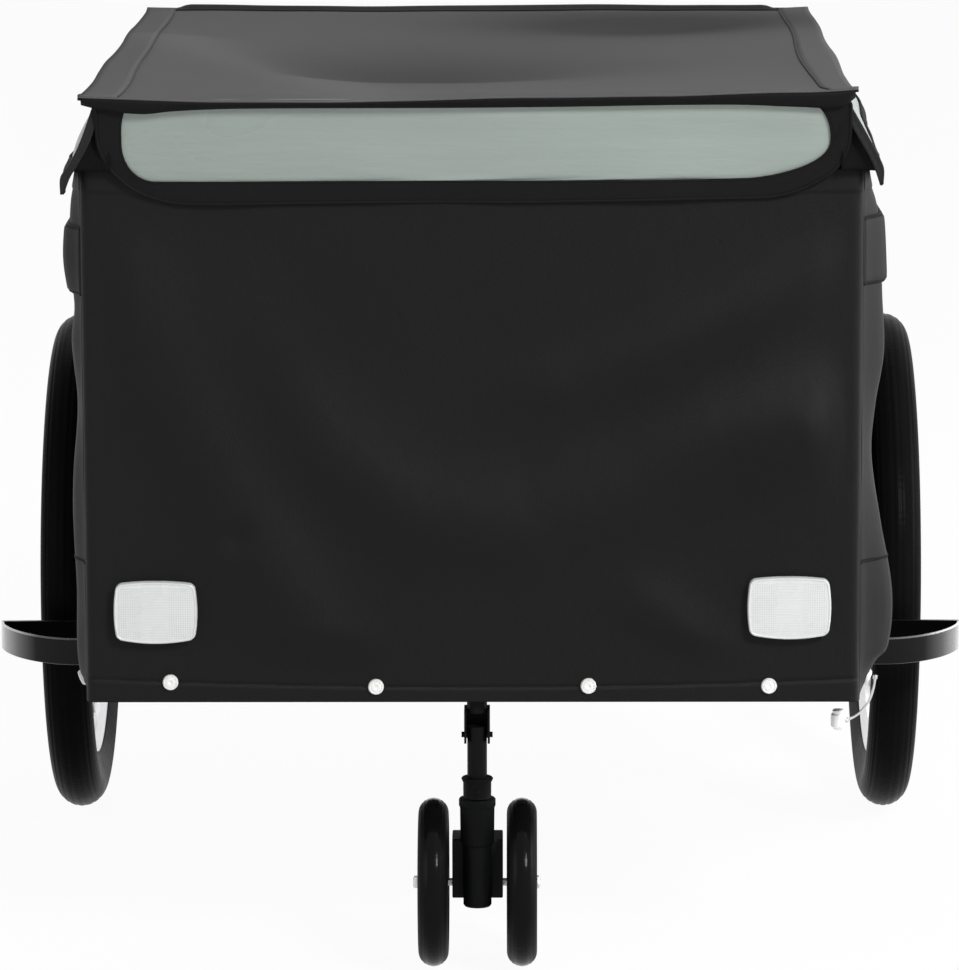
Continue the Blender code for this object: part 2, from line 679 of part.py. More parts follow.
def cover():
    """The cover sheet with its front and side skirts, which lift together about the rear edge."""
    def sheet(u, v):
        x = (2 * u - 1) * COVER_HALF_WIDTH
        y = COVER_FRONT + v * (COVER_REAR - COVER_FRONT)
        return (x, y, cover_height(x, y))

    pair = ("black_cloth", "clear_pane")
    lifting = [cloth("cover_top", COVER_COLUMNS, COVER_ROWS, sheet, COVER_CLOTH, "cover_cloth")]
    under = COVER_Z - COVER_CLOTH - SEAT_GAP
    end_top = under - SKIRT_CLOTH * sin(FRONT_SKIRT_SLOPE)
    for name, end in ENDS:
        edge = COVER_FRONT + FRONT_SKIRT_INSET if end < 0 else COVER_REAR - FRONT_SKIRT_INSET
        up = (0, end * sin(FRONT_SKIRT_SLOPE), cos(FRONT_SKIRT_SLOPE))
        place = facing((-end, 0, 0), up, (0, edge, end_top))
        items = skirt(f"{name}_skirt", f"{name}_window", place, FRONT_SKIRT_HALF, FRONT_SKIRT_DROP,
                      (SKIRT_CORNER, PANE_CORNER), pair)
        if end < 0:
            lifting += items
    side_top = under - SKIRT_CLOTH * sin(SIDE_SKIRT_SLOPE)
    half = (COVER_REAR - COVER_FRONT) / 2 - SIDE_SKIRT_END
    middle = (COVER_REAR + COVER_FRONT) / 2
    for name, side in SIDES:
        x = side * (COVER_HALF_WIDTH - SIDE_SKIRT_INSET)
        up = (-side * sin(SIDE_SKIRT_SLOPE), 0, cos(SIDE_SKIRT_SLOPE))
        place = facing((0, side, 0), up, (x, middle, side_top))
        lifting += skirt(f"{name}_skirt", f"{name}_window", place, half, SIDE_SKIRT_DROP,
                         (SIDE_SKIRT_CORNER, SIDE_PANE_CORNER), pair)
    hang_on("cover_opening", (0, COVER_HINGE_Y, COVER_Z - COVER_CLOTH / 2), lifting)


def hang_on(name, place, items, parent=None):
    """Parents these objects to an empty on their joint's axis, and leaves them where they are."""
    empty = bpy.data.objects.new(name, None)
    empty.location = place
    PARTS.objects.link(empty)
    bpy.context.view_layer.update()
    if parent:
        adopt(parent, empty)
    for item in items:
        adopt(empty, item)
    return empty


def adopt(parent, child):
    bpy.context.view_layer.update()
    child.parent = parent
    child.matrix_parent_inverse = parent.matrix_world.inverted()


def stud(name, base, direction, radius, height, sides, material):
    """A low domed head that stands on a surface."""
    direction = Vector(direction).normalized()
    middle = Vector(base) + direction * (height / 2)
    place = Matrix.Translation(middle) @ along(direction)
    shape = bmesh.new()
    bmesh.ops.create_cone(shape, cap_ends=True, segments=sides, radius1=radius, radius2=radius * 0.72,
                          depth=height, matrix=place)
    return smooth(mesh_object(name, shape, material))


def snaps():
    """The snap fasteners along the lower hem of the front wall and at the front of each side wall."""
    z = HEM_Z + SNAP_ABOVE_HEM
    size = (SNAP_RADIUS, SNAP_HEIGHT, SNAP_SIDES, "white_plastic")
    places = [set_in - TUB_HALF_WIDTH for set_in in SNAPS_FROM_RIGHT]
    places += [TUB_HALF_WIDTH - set_in for set_in in SNAPS_FROM_LEFT]
    for i, x in enumerate(places):
        stud(f"front_snap_{i + 1}", (x, TUB_FRONT - SEAT_GAP, z), (0, -1, 0), *size)
    for name, side in SIDES:
        base, normal = on_side_wall(side, TUB_FRONT + SIDE_SNAP_SETBACK, z)
        stud(f"{name}_side_snap", base, normal, *size)


def on_side_wall(side, y, z):
    """A point just off the side cloth's outer face and the direction that it faces."""
    step = 0.004
    bulge = faceted_bulge(y, z)
    along_y = (faceted_bulge(y + step, z) - faceted_bulge(y - step, z)) / (2 * step)
    along_z = (faceted_bulge(y, z + step) - faceted_bulge(y, z - step)) / (2 * step)
    normal = Vector((side, -along_y, -along_z)).normalized()
    middle = Vector((side * (TUB_HALF_WIDTH - CLOTH / 2 + bulge), y, z))
    return middle + normal * (CLOTH / 2 + SIDE_SNAP_STAND), normal


def reflectors():
    """Barrel-sided reflectors: two white ones on the front wall and two red ones on the rear wall."""
    outline = []
    power = 2 / REFLECTOR_SQUARENESS
    for i in range(REFLECTOR_POINTS):
        angle = 2 * pi * (i + 0.5) / REFLECTOR_POINTS
        c, s = cos(angle), sin(angle)
        outline.append((
            REFLECTOR_HALF * (1 if c > 0 else -1) * abs(c) ** power,
            REFLECTOR_TALL / 2 * (1 if s > 0 else -1) * abs(s) ** power,
        ))
    z = HEM_Z + REFLECTOR_ABOVE_HEM
    for (end_name, end), material in zip(ENDS, ("white_plastic", "red_plastic")):
        face = TUB_FRONT if end < 0 else TUB_REAR
        for name, side in SIDES:
            origin = (side * REFLECTOR_PLACE, face + end * (SEAT_GAP + REFLECTOR_DEPTH / 2), z)
            place = facing((-end, 0, 0), (0, 0, 1), origin)
            lens = plate(f"{end_name}_{name}_reflector", [outline], REFLECTOR_DEPTH, material, place)
            bevel(to_mesh(lens), REFLECTOR_EDGE)


def guard_outline(inset):
    """The D of a wheel guard at the +X side, seen from above, drawn in by this much."""
    back = GUARD_BACK - inset
    inner = BASE_RAIL_X - GUARD_UNDER_RAIL + inset
    nose_x = GUARD_TIP - GUARD_NOSE
    reach_x, reach_y = GUARD_NOSE - inset, GUARD_DEPTH - 2 * inset
    power = 2 / GUARD_ROUNDNESS
    outline = [(inner, back)]
    for i in range(GUARD_STEPS + 1):
        angle = i / GUARD_STEPS * pi / 2
        outline.append((nose_x + reach_x * cos(angle) ** power, back - reach_y * sin(angle) ** power))
    outline.append((inner, back - reach_y))
    return outline


def guards():
    """A closed D of flat strip ahead of each wheel, round its bracket under the base rail."""
    place = Matrix.Translation((0, 0, GUARD_TOP - GUARD_HEIGHT / 2))
    for name, side in SIDES:
        outlines = []
        for inset in (0, GUARD_STRIP):
            outlines.append([(side * x, y) for x, y in guard_outline(inset)])
        plate(f"{name}_wheel_guard", outlines, GUARD_HEIGHT, "black_plastic", place)


def tow_bar_receiver():
    """A square socket under the left rail, open to the front, with a cross hole for the hitch pin."""
    top = BASE_Z - BASE_TUBE_RADIUS - SEAT_GAP
    front = TUB_FRONT + RECEIVER_SETBACK
    centre = Vector((BASE_RAIL_X, front + RECEIVER_LENGTH / 2, top - RECEIVER_DROP / 2))
    socket = box("tow_bar_receiver", (RECEIVER_WIDTH, RECEIVER_LENGTH, RECEIVER_DROP), centre, "black_paint")
    inside = (RECEIVER_WIDTH - 2 * RECEIVER_WALL, RECEIVER_LENGTH, RECEIVER_DROP - 2 * RECEIVER_WALL)
    cut(socket, box_cutter("receiver_hollow", inside, centre - Vector((0, RECEIVER_BACK, 0))))
    reach = Vector((RECEIVER_WIDTH, 0, 0))
    hole = centre - Vector((0, RECEIVER_LENGTH / 4, 0))
    cut(socket, rod_cutter("receiver_pin_hole", hole - reach, hole + reach, RECEIVER_PIN_RADIUS))


def outward(profile, steps):
    """The same turned profile with its flats, not its corners, at the stated radii."""
    return [(radius / cos(pi / steps), height) for radius, height in profile]


def tyre_profile(radius, section, bead_radius, bead_width):
    """A tyre's section: half a circle outside, then straight sides in to the bead."""
    middle = radius - section
    profile = []
    for i in range(7):
        angle = pi / 2 - i * pi / 6
        profile.append((middle + section * cos(angle), section * sin(angle)))
    return profile + [(bead_radius, -bead_width / 2), (bead_radius, bead_width / 2)]


def wheels():
    """Two spoked wheels that turn freely on the through axle."""
    bore = AXLE_RADIUS / cos(pi / TUBE_SIDES) + RUNNING_GAP
    edge = BEAD_RADIUS - SEAT_GAP
    inner = edge - RIM_DEPTH
    half = RIM_WIDTH / 2
    rim_profile = [(edge, half), (edge, -half), (edge - RIM_DEPTH / 3, -half), (inner, -half / 2),
                   (inner, half / 2), (edge - RIM_DEPTH / 3, half)]
    outer_flange = (HUB_FLANGE_SPACING + HUB_FLANGE_THICKNESS) / 2
    inner_flange = outer_flange - HUB_FLANGE_THICKNESS
    upper = [(HUB_BARREL_RADIUS * 0.85, HUB_LENGTH / 2), (HUB_BARREL_RADIUS, outer_flange),
             (HUB_FLANGE_RADIUS, outer_flange), (HUB_FLANGE_RADIUS, inner_flange),
             (HUB_BARREL_RADIUS, inner_flange)]
    hub_profile = upper + [(radius, -height) for radius, height in reversed(upper)]
    hub_profile += [(bore, -HUB_LENGTH / 2), (bore, HUB_LENGTH / 2)]
    for name, side in SIDES:
        centre = Vector((side * HALF_TRACK, AXLE_Y, AXLE_Z))
        axis = (side, 0, 0)
        tyre = tyre_profile(WHEEL_RADIUS, TYRE_SECTION, BEAD_RADIUS, BEAD_WIDTH)
        shell = outward(hub_profile, HUB_STEPS)
        hub = turned(f"{name}_hub", shell, HUB_STEPS, "silver_steel", axis, centre, True)
        cut(hub, spokes(f"{name}_spokes", centre, inner), "UNION")
        section = outward(tyre, WHEEL_STEPS)
        tyre_ring = turned(f"{name}_tyre", section, WHEEL_STEPS, "rubber", axis, centre, True)
        section = outward(rim_profile, WHEEL_STEPS)
        rim_ring = turned(f"{name}_rim", section, WHEEL_STEPS, "silver_steel", axis, centre, True)
        hang_on(f"{name}_wheel_spin", centre, [tyre_ring, rim_ring, hub])


def spokes(name, centre, rim_radius):
    """Straight spokes from inside the hub's flanges to the rim, to each flange in turn."""
    shape = bmesh.new()
    root = HUB_FLANGE_RADIUS - SPOKE_ROOT
    tip = rim_radius - SEAT_GAP
    for i in range(SPOKE_COUNT):
        flank = 1 if i % 2 else -1
        angle = 2 * pi * (i + 0.5) / SPOKE_COUNT
        ray = Vector((0, cos(angle), sin(angle)))
        start = centre + ray * root + Vector((flank * HUB_FLANGE_SPACING / 2, 0, 0))
        end = centre + ray * tip + Vector((flank * SPOKE_RIM_OFFSET, 0, 0))
        add_rod(shape, start, end, SPOKE_RADIUS, SPOKE_SIDES)
    return mesh_object(name, shape, None, CUTTERS)


def axle():
    """The through axle with its two fixed inner nuts, and the nut outside each hub."""
    hub_end = HALF_TRACK + HUB_LENGTH / 2 + WHEEL_GAP
    end = hub_end + AXLE_NUT_LENGTH + AXLE_END
    stop = HALF_TRACK - HUB_LENGTH / 2 - WHEEL_GAP
    corner = AXLE_RADIUS / cos(pi / TUBE_SIDES)
    right = [(0, end), (corner, end), (corner, stop), (AXLE_NUT_RADIUS, stop),
             (AXLE_NUT_RADIUS, stop - AXLE_NUT_LENGTH), (corner, stop - AXLE_NUT_LENGTH)]
    profile = right + [(radius, -x) for radius, x in reversed(right)]
    turned("axle", profile, TUBE_SIDES, "silver_steel", (1, 0, 0), (0, AXLE_Y, AXLE_Z))
    nut = outward([(AXLE_NUT_RADIUS, AXLE_NUT_LENGTH / 2), (AXLE_NUT_RADIUS, -AXLE_NUT_LENGTH / 2),
                   (AXLE_BORE_RADIUS, -AXLE_NUT_LENGTH / 2), (AXLE_BORE_RADIUS, AXLE_NUT_LENGTH / 2)], 6)
    for name, side in SIDES:
        centre = (side * (hub_end + AXLE_NUT_LENGTH / 2), AXLE_Y, AXLE_Z)
        turned(f"{name}_axle_nut", nut, 6, "silver_steel", (1, 0, 0), centre, True)


def caster():
    """The folding twin-wheel caster: a knuckle under the front bar, a post, a swivel housing and wheels."""
    swivel = Vector((0, SWIVEL_Y, 0))
    pin = Vector((0, SWIVEL_Y, PIN_Z))
    inner = CASTER_POST_RADIUS / cos(pi / 16) + SEAT_GAP
    outer = inner + KNUCKLE_EAR
    front, back = -KNUCKLE_FRONT, KNUCKLE_BACK
    channel = [(-outer, front), (-inner, front), (-inner, back), (inner, back), (inner, front),
               (outer, front), (outer, back + KNUCKLE_EAR), (-outer, back + KNUCKLE_EAR)]
    knuckle_middle = HEM_Z - KNUCKLE_BELOW_HEM - KNUCKLE_HEIGHT / 2
    knuckle = to_mesh(plate("fold_knuckle", [channel], KNUCKLE_HEIGHT, "black_paint",
                            Matrix.Translation((0, SWIVEL_Y, knuckle_middle))))
    reach = Vector((outer + KNUCKLE_PIN_END, 0, 0))
    hole = KNUCKLE_PIN_RADIUS / cos(pi / TUBE_SIDES)
    cut(knuckle, rod_cutter("knuckle_hole", pin - 2 * reach, pin + 2 * reach, hole + SEAT_GAP))
    rod("knuckle_pin", pin - reach, pin + reach, KNUCKLE_PIN_RADIUS, "silver_steel")

    bottom = HOUSING_TOP + RUNNING_GAP
    post_profile = [(0, PIN_Z + POST_ABOVE_PIN), (CASTER_POST_RADIUS, PIN_Z + POST_ABOVE_PIN),
                    (CASTER_POST_RADIUS, bottom), (STEM_RADIUS, bottom), (STEM_RADIUS, STEM_BOTTOM),
                    (0, STEM_BOTTOM)]
    post = turned("caster_post", post_profile, 16, "black_paint", centre=swivel)
    cut(post, rod_cutter("post_pin_hole", pin - 2 * reach, pin + 2 * reach, hole + RUNNING_GAP))
    bore = CASTER_POST_RADIUS + SEAT_GAP / cos(pi / 16)
    lip_bottom = COLLAR_TOP - COLLAR_LIP_HEIGHT
    collar_profile = [(COLLAR_LIP_RADIUS, COLLAR_TOP), (COLLAR_LIP_RADIUS, lip_bottom),
                      (COLLAR_RADIUS, lip_bottom - COLLAR_LIP_HEIGHT), (COLLAR_RADIUS, bottom),
                      (bore, bottom), (bore, COLLAR_TOP)]
    collar = turned("caster_collar", collar_profile, 16, "black_plastic", centre=swivel, closed=True)
    button_line = swivel + Vector((0, 0, BUTTON_Z))
    button_hole = BUTTON_RADIUS / cos(pi / TUBE_SIDES) + RUNNING_GAP
    mouth = button_line - Vector((0, 2 * COLLAR_RADIUS, 0))
    blind = button_line - Vector((0, BUTTON_INNER - BUTTON_TRAVEL - RUNNING_GAP, 0))
    for item in (post, collar):
        cut(item, rod_cutter(f"{item.name}_button_hole", mouth, blind, button_hole))
    outer_end = button_line - Vector((0, COLLAR_RADIUS + BUTTON_STAND, 0))
    inner_end = button_line - Vector((0, BUTTON_INNER, 0))
    button = rod("caster_button", outer_end, inner_end, BUTTON_RADIUS, "black_plastic")
    fold = hang_on("caster_fold", pin, [post, collar])
    hang_on("caster_release_press", button_line, [button], fold)
    turn = hang_on("caster_swivel", swivel, swivel_pieces(swivel), fold)
    for name, side in SIDES:
        centre = Vector((side * CASTER_HALF_TRACK, CASTER_Y, CASTER_WHEEL_RADIUS))
        hang_on(f"{name}_caster_wheel_spin", centre, caster_wheel(name, centre), turn)


def swivel_pieces(swivel):
    """The housing that turns on the stem, the axle block behind it and the caster's axle bolt."""
    bore = STEM_RADIUS + RUNNING_GAP
    floor_z = STEM_BOTTOM - RUNNING_GAP
    flange_bottom = HOUSING_TOP - HOUSING_FLANGE_HEIGHT
    edge = HOUSING_EDGE
    profile = [(0, floor_z), (bore, floor_z), (bore, HOUSING_TOP), (HOUSING_FLANGE_RADIUS, HOUSING_TOP),
               (HOUSING_FLANGE_RADIUS, flange_bottom), (HOUSING_RADIUS, flange_bottom - edge),
               (HOUSING_RADIUS, HOUSING_WAIST), (HOUSING_LOWER_RADIUS, HOUSING_WAIST),
               (HOUSING_LOWER_RADIUS, HOUSING_BOTTOM + edge), (HOUSING_LOWER_RADIUS - edge, HOUSING_BOTTOM),
               (0, HOUSING_BOTTOM)]
    housing = turned("swivel_housing", profile, 20, "black_plastic", centre=swivel)
    near = SWIVEL_Y + HOUSING_LOWER_RADIUS + SEAT_GAP
    far = CASTER_Y + BLOCK_BACK
    top = HOUSING_WAIST - SEAT_GAP
    size = (2 * BLOCK_HALF_WIDTH, far - near, top - BLOCK_BOTTOM)
    block = box("axle_block", size, (0, (near + far) / 2, (top + BLOCK_BOTTOM) / 2), "black_plastic")
    line = Vector((0, CASTER_Y, CASTER_WHEEL_RADIUS))
    reach = Vector((2 * BLOCK_HALF_WIDTH, 0, 0))
    cut(block, rod_cutter("block_bore", line - reach, line + reach, CASTER_AXLE_RADIUS + 2 * SEAT_GAP))
    head = CASTER_HALF_TRACK + CASTER_TYRE_WIDTH / 2 + RUNNING_GAP
    nut_end, bolt_end = head + CASTER_NUT_LENGTH, -head - CASTER_BOLT_END
    bolt_profile = [(0, nut_end), (CASTER_NUT_RADIUS, nut_end), (CASTER_NUT_RADIUS, head),
                    (CASTER_AXLE_RADIUS, head), (CASTER_AXLE_RADIUS, bolt_end), (0, bolt_end)]
    bolt = turned("caster_axle", bolt_profile, 12, "silver_steel", (1, 0, 0), line)
    return [housing, block, bolt]


def caster_wheel(name, centre):
    """A small wheel: a round tyre on a dished hub."""
    section = CASTER_TYRE_WIDTH / 2
    tyre = tyre_profile(CASTER_WHEEL_RADIUS, section, CASTER_RIM_RADIUS, CASTER_RIM_WIDTH)
    edge, half = CASTER_RIM_RADIUS - SEAT_GAP, CASTER_RIM_WIDTH / 2
    boss, web = CASTER_BOSS_RADIUS, CASTER_WEB / 2
    wall = edge - CASTER_RIM_WALL
    upper = [(boss, section), (boss, web), (wall, web), (wall, half), (edge, half)]
    bore = CASTER_AXLE_RADIUS + RUNNING_GAP
    profile = upper + [(radius, -height) for radius, height in reversed(upper)]
    profile += [(bore, -section), (bore, section)]
    items = []
    for item, section, material in (("tyre", tyre, "rubber"), ("hub", profile, "black_plastic")):
        items.append(turned(f"{name}_caster_{item}", outward(section, CASTER_STEPS), CASTER_STEPS, material,
                            (1, 0, 0), centre, True))
    return items


def smooth_route(route, count):
    """Evenly read points on a smooth curve through the route's own points."""
    fine = []
    padded = [route[0], *route, route[-1]]
    for first, second, third, fourth in zip(padded, padded[1:], padded[2:], padded[3:]):
        for step in range(LANYARD_FINENESS):
            t = step / LANYARD_FINENESS
            place = []
            for a, b, c, d in zip(first, second, third, fourth):
                bend, twist = 2 * a - 5 * b + 4 * c - d, 3 * b - a - 3 * c + d
                place.append(0.5 * (2 * b + (c - a) * t + bend * t * t + twist * t ** 3))
            fine.append(Vector(place))
    fine.append(Vector(route[-1]))
    lengths = [0.0]
    for near, far in zip(fine, fine[1:]):
        lengths.append(lengths[-1] + (far - near).length)
    points = []
    for i in range(count):
        target = lengths[-1] * i / (count - 1)
        place, share = span_at(lengths, min(target, lengths[-1] - 1e-9))
        points.append(fine[place].lerp(fine[place + 1], share))
    return points


def lanyard():
    """The wire lanyard from the front left side snap and the hitch pin that hangs on its end."""
    tube("lanyard_wire", smooth_route(LANYARD_ROUTE, LANYARD_STEPS), LANYARD_DIAMETER / 2, "silver_steel")
    end = Vector(LANYARD_ROUTE[-1])
    top = end.z + HITCH_PIN_LENGTH * 0.62
    middle = end.z + HITCH_HEAD_HEIGHT * 1.3
    profile = [(0, top), (HITCH_PIN_RADIUS, top), (HITCH_PIN_RADIUS, middle + HITCH_HEAD_HEIGHT),
               (HITCH_HEAD_RADIUS, middle + HITCH_HEAD_HEIGHT), (HITCH_HEAD_RADIUS, middle),
               (HITCH_PIN_RADIUS, middle), (HITCH_PIN_RADIUS, top - HITCH_PIN_LENGTH),
               (0, top - HITCH_PIN_LENGTH)]
    x = end.x - HITCH_PIN_RADIUS - 2 * SEAT_GAP
    turned("hitch_pin", profile, 12, "silver_steel", centre=(x, end.y, 0))


for old in list(bpy.data.objects):
    bpy.data.objects.remove(old)
PARTS = new_collection("bicycle_trailer")
CUTTERS = new_collection("cutters")
frame()
cover_bows()
floor()
tub()
cover()
snaps()
reflectors()
guards()
tow_bar_receiver()
wheels()
axle()
caster()
lanyard()
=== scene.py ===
"""Bicycle cargo trailer: its cloth, wheels, fittings and finishes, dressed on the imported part's frame."""
from math import cos, exp, hypot, pi, radians, sin

import bmesh
import bpy
from bpy.props import FloatProperty, FloatVectorProperty, IntProperty, PointerProperty
from mathutils import Matrix, Vector, noise


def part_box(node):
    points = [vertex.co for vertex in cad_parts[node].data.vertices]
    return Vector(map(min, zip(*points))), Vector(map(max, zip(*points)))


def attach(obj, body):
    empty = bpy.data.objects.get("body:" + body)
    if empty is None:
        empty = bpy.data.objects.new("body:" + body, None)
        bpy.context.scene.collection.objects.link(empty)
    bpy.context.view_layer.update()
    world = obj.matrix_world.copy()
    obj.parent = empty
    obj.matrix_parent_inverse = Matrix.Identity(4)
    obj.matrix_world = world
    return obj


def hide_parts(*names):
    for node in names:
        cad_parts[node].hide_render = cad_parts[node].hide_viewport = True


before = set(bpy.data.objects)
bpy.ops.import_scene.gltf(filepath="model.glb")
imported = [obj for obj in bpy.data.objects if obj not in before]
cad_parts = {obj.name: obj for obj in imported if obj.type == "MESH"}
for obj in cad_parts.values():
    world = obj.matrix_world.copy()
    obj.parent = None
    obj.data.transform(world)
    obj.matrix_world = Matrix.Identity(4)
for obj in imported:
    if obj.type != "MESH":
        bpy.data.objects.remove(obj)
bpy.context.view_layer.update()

bl_info = {
    "name": "Bicycle Cargo Trailer",
    "version": (1, 0, 0),
    "blender": (4, 5, 0),
    "location": "View3D > Sidebar > Trailer",
    "description": "Dresses a bicycle cargo trailer: cloth tub and cover, wheels, caster and fittings",
    "category": "Add Mesh",
}

# Places read from the frame
(_, TUB_FRONT, HEM), (TUB_HALF, _, RIM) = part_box("front_wall")
TUB_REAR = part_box("rear_wall")[1][1]
(_, COVER_FRONT, _), (COVER_HALF, COVER_REAR, COVER_TOP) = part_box("cover_top")
BAND_LOW, BAND_HIGH = [corner[2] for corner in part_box("left_side_band")]
(GUARD_INNER, GUARD_FRONT, GUARD_LOW), (GUARD_TIP, GUARD_BACK, GUARD_HIGH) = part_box("left_wheel_guard")
SIDES = (("left", 1), ("right", -1))
ENDS = (("front", -1), ("rear", 1))
WHITE = (1.0, 1.0, 1.0, 1.0)


def middle(node):
    """The middle of a node's box."""
    low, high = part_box(node)
    return Vector([(a + b) / 2 for a, b in zip(low, high)])


def half_size(node):
    """Half of a node's width, depth and height."""
    low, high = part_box(node)
    return [(b - a) / 2 for a, b in zip(low, high)]


def length_setting(name, description, default):
    """A setting in metres."""
    return FloatProperty(name=name, description=description, unit="LENGTH", default=default)


def angle_setting(name, description, default):
    """A setting in radians."""
    return FloatProperty(name=name, description=description, subtype="ANGLE", default=default)


def colour_setting(name, description, default):
    """A colour setting."""
    return FloatVectorProperty(name=name, description=description, size=3, subtype="COLOR", default=default)


class StageSettings(bpy.types.PropertyGroup):
    camera_place: FloatVectorProperty(
        name="Camera place", description="Where the camera stands", size=3, subtype="TRANSLATION",
        unit="LENGTH", default=(0.03159, -4.31330, 1.05838))
    camera_pitch: angle_setting("Camera pitch", "How far the camera looks down", 0.1740)
    camera_yaw: angle_setting("Camera yaw", "How far the camera turns to its right", -0.00745)
    camera_roll: angle_setting("Camera roll", "How far the camera leans", -0.00229)
    lens: FloatProperty(name="Lens", description="Focal length on a 36 mm wide film", default=206.23)
    floor_colour: colour_setting("Floor", "Colour of the floor", (0.92, 0.92, 0.92))
    sky_strength: FloatProperty(name="Sky", description="Strength of the light all round", default=0.30)
    lamp_strength: FloatProperty(name="Lamps", description="Strength of the soft lamps", default=1.0)


class ClothSettings(bpy.types.PropertyGroup):
    tub_colour: colour_setting("Tub cloth", "Colour of the tub's cloth", (0.0055, 0.0055, 0.0056))
    # The cover's grey is partly the cloth's own colour and partly painted sheen, for the top seen at a
    # grazing angle.
    cover_colour: colour_setting("Cover cloth", "Colour of the cover's cloth", (0.110, 0.110, 0.1108))
    # The panes' pale colour is partly haze and partly painted light for the background seen through and
    # reflected in them.
    pane_colour: colour_setting("Pane", "Colour of the clear panes", (0.282, 0.325, 0.300))
    weave_pitch: length_setting("Weave", "Distance from thread to thread", 0.0008)
    fold_height: length_setting("Folds", "How far the deepest fold stands out", 0.0075)
    cover_sag: length_setting("Cover sag", "How far the cover hangs in", 0.0180)


class WheelSettings(bpy.types.PropertyGroup):
    tyre_steps: IntProperty(name="Tyre steps", description="Faces round a tyre", default=144)
    tread_depth: length_setting("Tread", "Depth of the tyre's grooves", 0.0006)


class FittingSettings(bpy.types.PropertyGroup):
    reflector_colour: colour_setting("Reflector", "Colour of the front reflectors", (0.61, 0.62, 0.62))
    metal_colour: colour_setting("Plated steel", "Colour of bolts, spokes and rims", (0.62, 0.62, 0.63))


class Field:
    """A shader socket that arithmetic can be written with."""

    def __init__(self, owner, socket):
        self.owner, self.socket = owner, socket

    def math(self, operation, other=0.0, swap=False):
        pair = (other, self) if swap else (self, other)
        return self.owner.add("ShaderNodeMath", {"operation": operation}, dict(enumerate(pair)))

    def __add__(self, other):
        return self.math("ADD", other)

    def __sub__(self, other):
        return self.math("SUBTRACT", other)

    def __rsub__(self, other):
        return self.math("SUBTRACT", other, True)

    def __mul__(self, other):
        return self.math("MULTIPLY", other)

    def __truediv__(self, other):
        return self.math("DIVIDE", other)

    def __pow__(self, other):
        return self.math("POWER", other)

    def __abs__(self):
        return self.math("ABSOLUTE")

    def __lt__(self, other):
        return self.math("LESS_THAN", other)

    def __gt__(self, other):
        return self.math("GREATER_THAN", other)

    def squared(self):
        return self * self

    def falloff(self):
        """One where the field is nought, fading as it grows."""
        return (self * -1.0).math("EXPONENT")

    def wave(self, pitch):
        """A wave of this pitch along the field, from -1 to 1."""
        return (self * (2 * pi / pitch)).math("SINE")


class Nodes:
    """A tree of shader nodes, and what adds to it."""

    def __init__(self, tree):
        self.tree = tree

    def join(self, socket, value):
        if isinstance(value, Field):
            self.tree.links.new(value.socket, socket)
        else:
            socket.default_value = value

    def add(self, kind, settings=None, sockets=None, output=0):
        """A node of any kind: its settings, then its sockets' values or links. It returns one output."""
        node = self.tree.nodes.new(kind)
        for key, value in (settings or {}).items():
            if key == "stops":
                while len(node.color_ramp.elements) < len(value):
                    node.color_ramp.elements.new(1.0)
                for element, (place, shade) in zip(node.color_ramp.elements, value):
                    element.position = place
                    element.color = (shade, shade, shade, 1.0)
            else:
                setattr(node, key, value)
        for key, value in (sockets or {}).items():
            self.join(node.inputs[key], value)
        return Field(self, node.outputs[output])

    def shows_background(self):
        """One for the rays that see the background: the camera's, mirrored ones and those through glass."""
        kinds = ("Is Camera Ray", "Is Glossy Ray", "Is Transmission Ray")
        direct, glossy, through = [self.add("ShaderNodeLightPath", output=kind) for kind in kinds]
        return direct.math("MAXIMUM", glossy).math("MAXIMUM", through)


class Finish(Nodes):
    """One material, and the nodes that vary it over a surface."""

    def __init__(self, name, shade, roughness, metallic=0.0, **fixed):
        self.material = bpy.data.materials.new(name)
        self.material.use_nodes = True
        super().__init__(self.material.node_tree)
        self.shader = self.tree.nodes["Principled BSDF"]
        self.colour = (*shade, 1.0)
        self.put("Base Color", self.colour)
        self.put("Roughness", roughness)
        self.put("Metallic", metallic)
        for socket, value in fixed.items():
            self.put(socket.replace("_", " "), value)
        self.material.diffuse_color = self.colour

    def put(self, socket, value):
        """Sets one of the shader's sockets to a value or a field."""
        self.join(self.shader.inputs[socket], value)

    def ramp(self, field, *stops):
        return self.add("ShaderNodeValToRGB", {"stops": stops}, {0: field})

    def where(self):
        """The place on the object, in metres."""
        return self.add("ShaderNodeTexCoord", output="Object")

    def axes(self, vector):
        """A vector's three numbers."""
        first = self.add("ShaderNodeSeparateXYZ", None, {0: vector})
        return [Field(self, socket) for socket in first.socket.node.outputs]

    def cloth_place(self):
        """Metres across and up the flat cloth."""
        return self.axes(self.add("ShaderNodeUVMap", {"uv_map": "cloth"}))[:2]

    def noise(self, scale, detail=3.0, roughness=0.5, stretch=None):
        """Soft noise from 0 to 1 over the object, so many waves to a metre."""
        place = self.where()
        if stretch:
            place = self.add("ShaderNodeVectorMath", {"operation": "MULTIPLY"}, {0: place, 1: stretch})
        return self.add("ShaderNodeTexNoise", {"noise_dimensions": "3D"},
                        {"Vector": place, "Scale": scale, "Detail": detail, "Roughness": roughness})

    def blend(self, factor, first, second):
        """A colour mixed from two."""
        return self.add("ShaderNodeMix", {"data_type": "RGBA"}, {0: factor, 6: first, 7: second}, output=2)

    def shade(self, factor, low, high):
        """Varies the base colour between two brightnesses of it."""
        dark, light = [(*(min(1.0, c * level) for c in self.colour[:3]), 1.0) for level in (low, high)]
        mixed = self.blend(factor, dark, light)
        self.put("Base Color", mixed)
        return mixed

    def dull(self, field, low, high):
        """Varies the roughness from low to high with a soft field."""
        self.put("Roughness", self.ramp(field, (0.3, low), (0.7, high)))

    def bump(self, height, distance, strength=0.5):
        """Raises the surface by a height field from 0 to 1."""
        self.put("Normal", self.add("ShaderNodeBump", None,
                                    {"Height": height, "Distance": distance, "Strength": strength}))


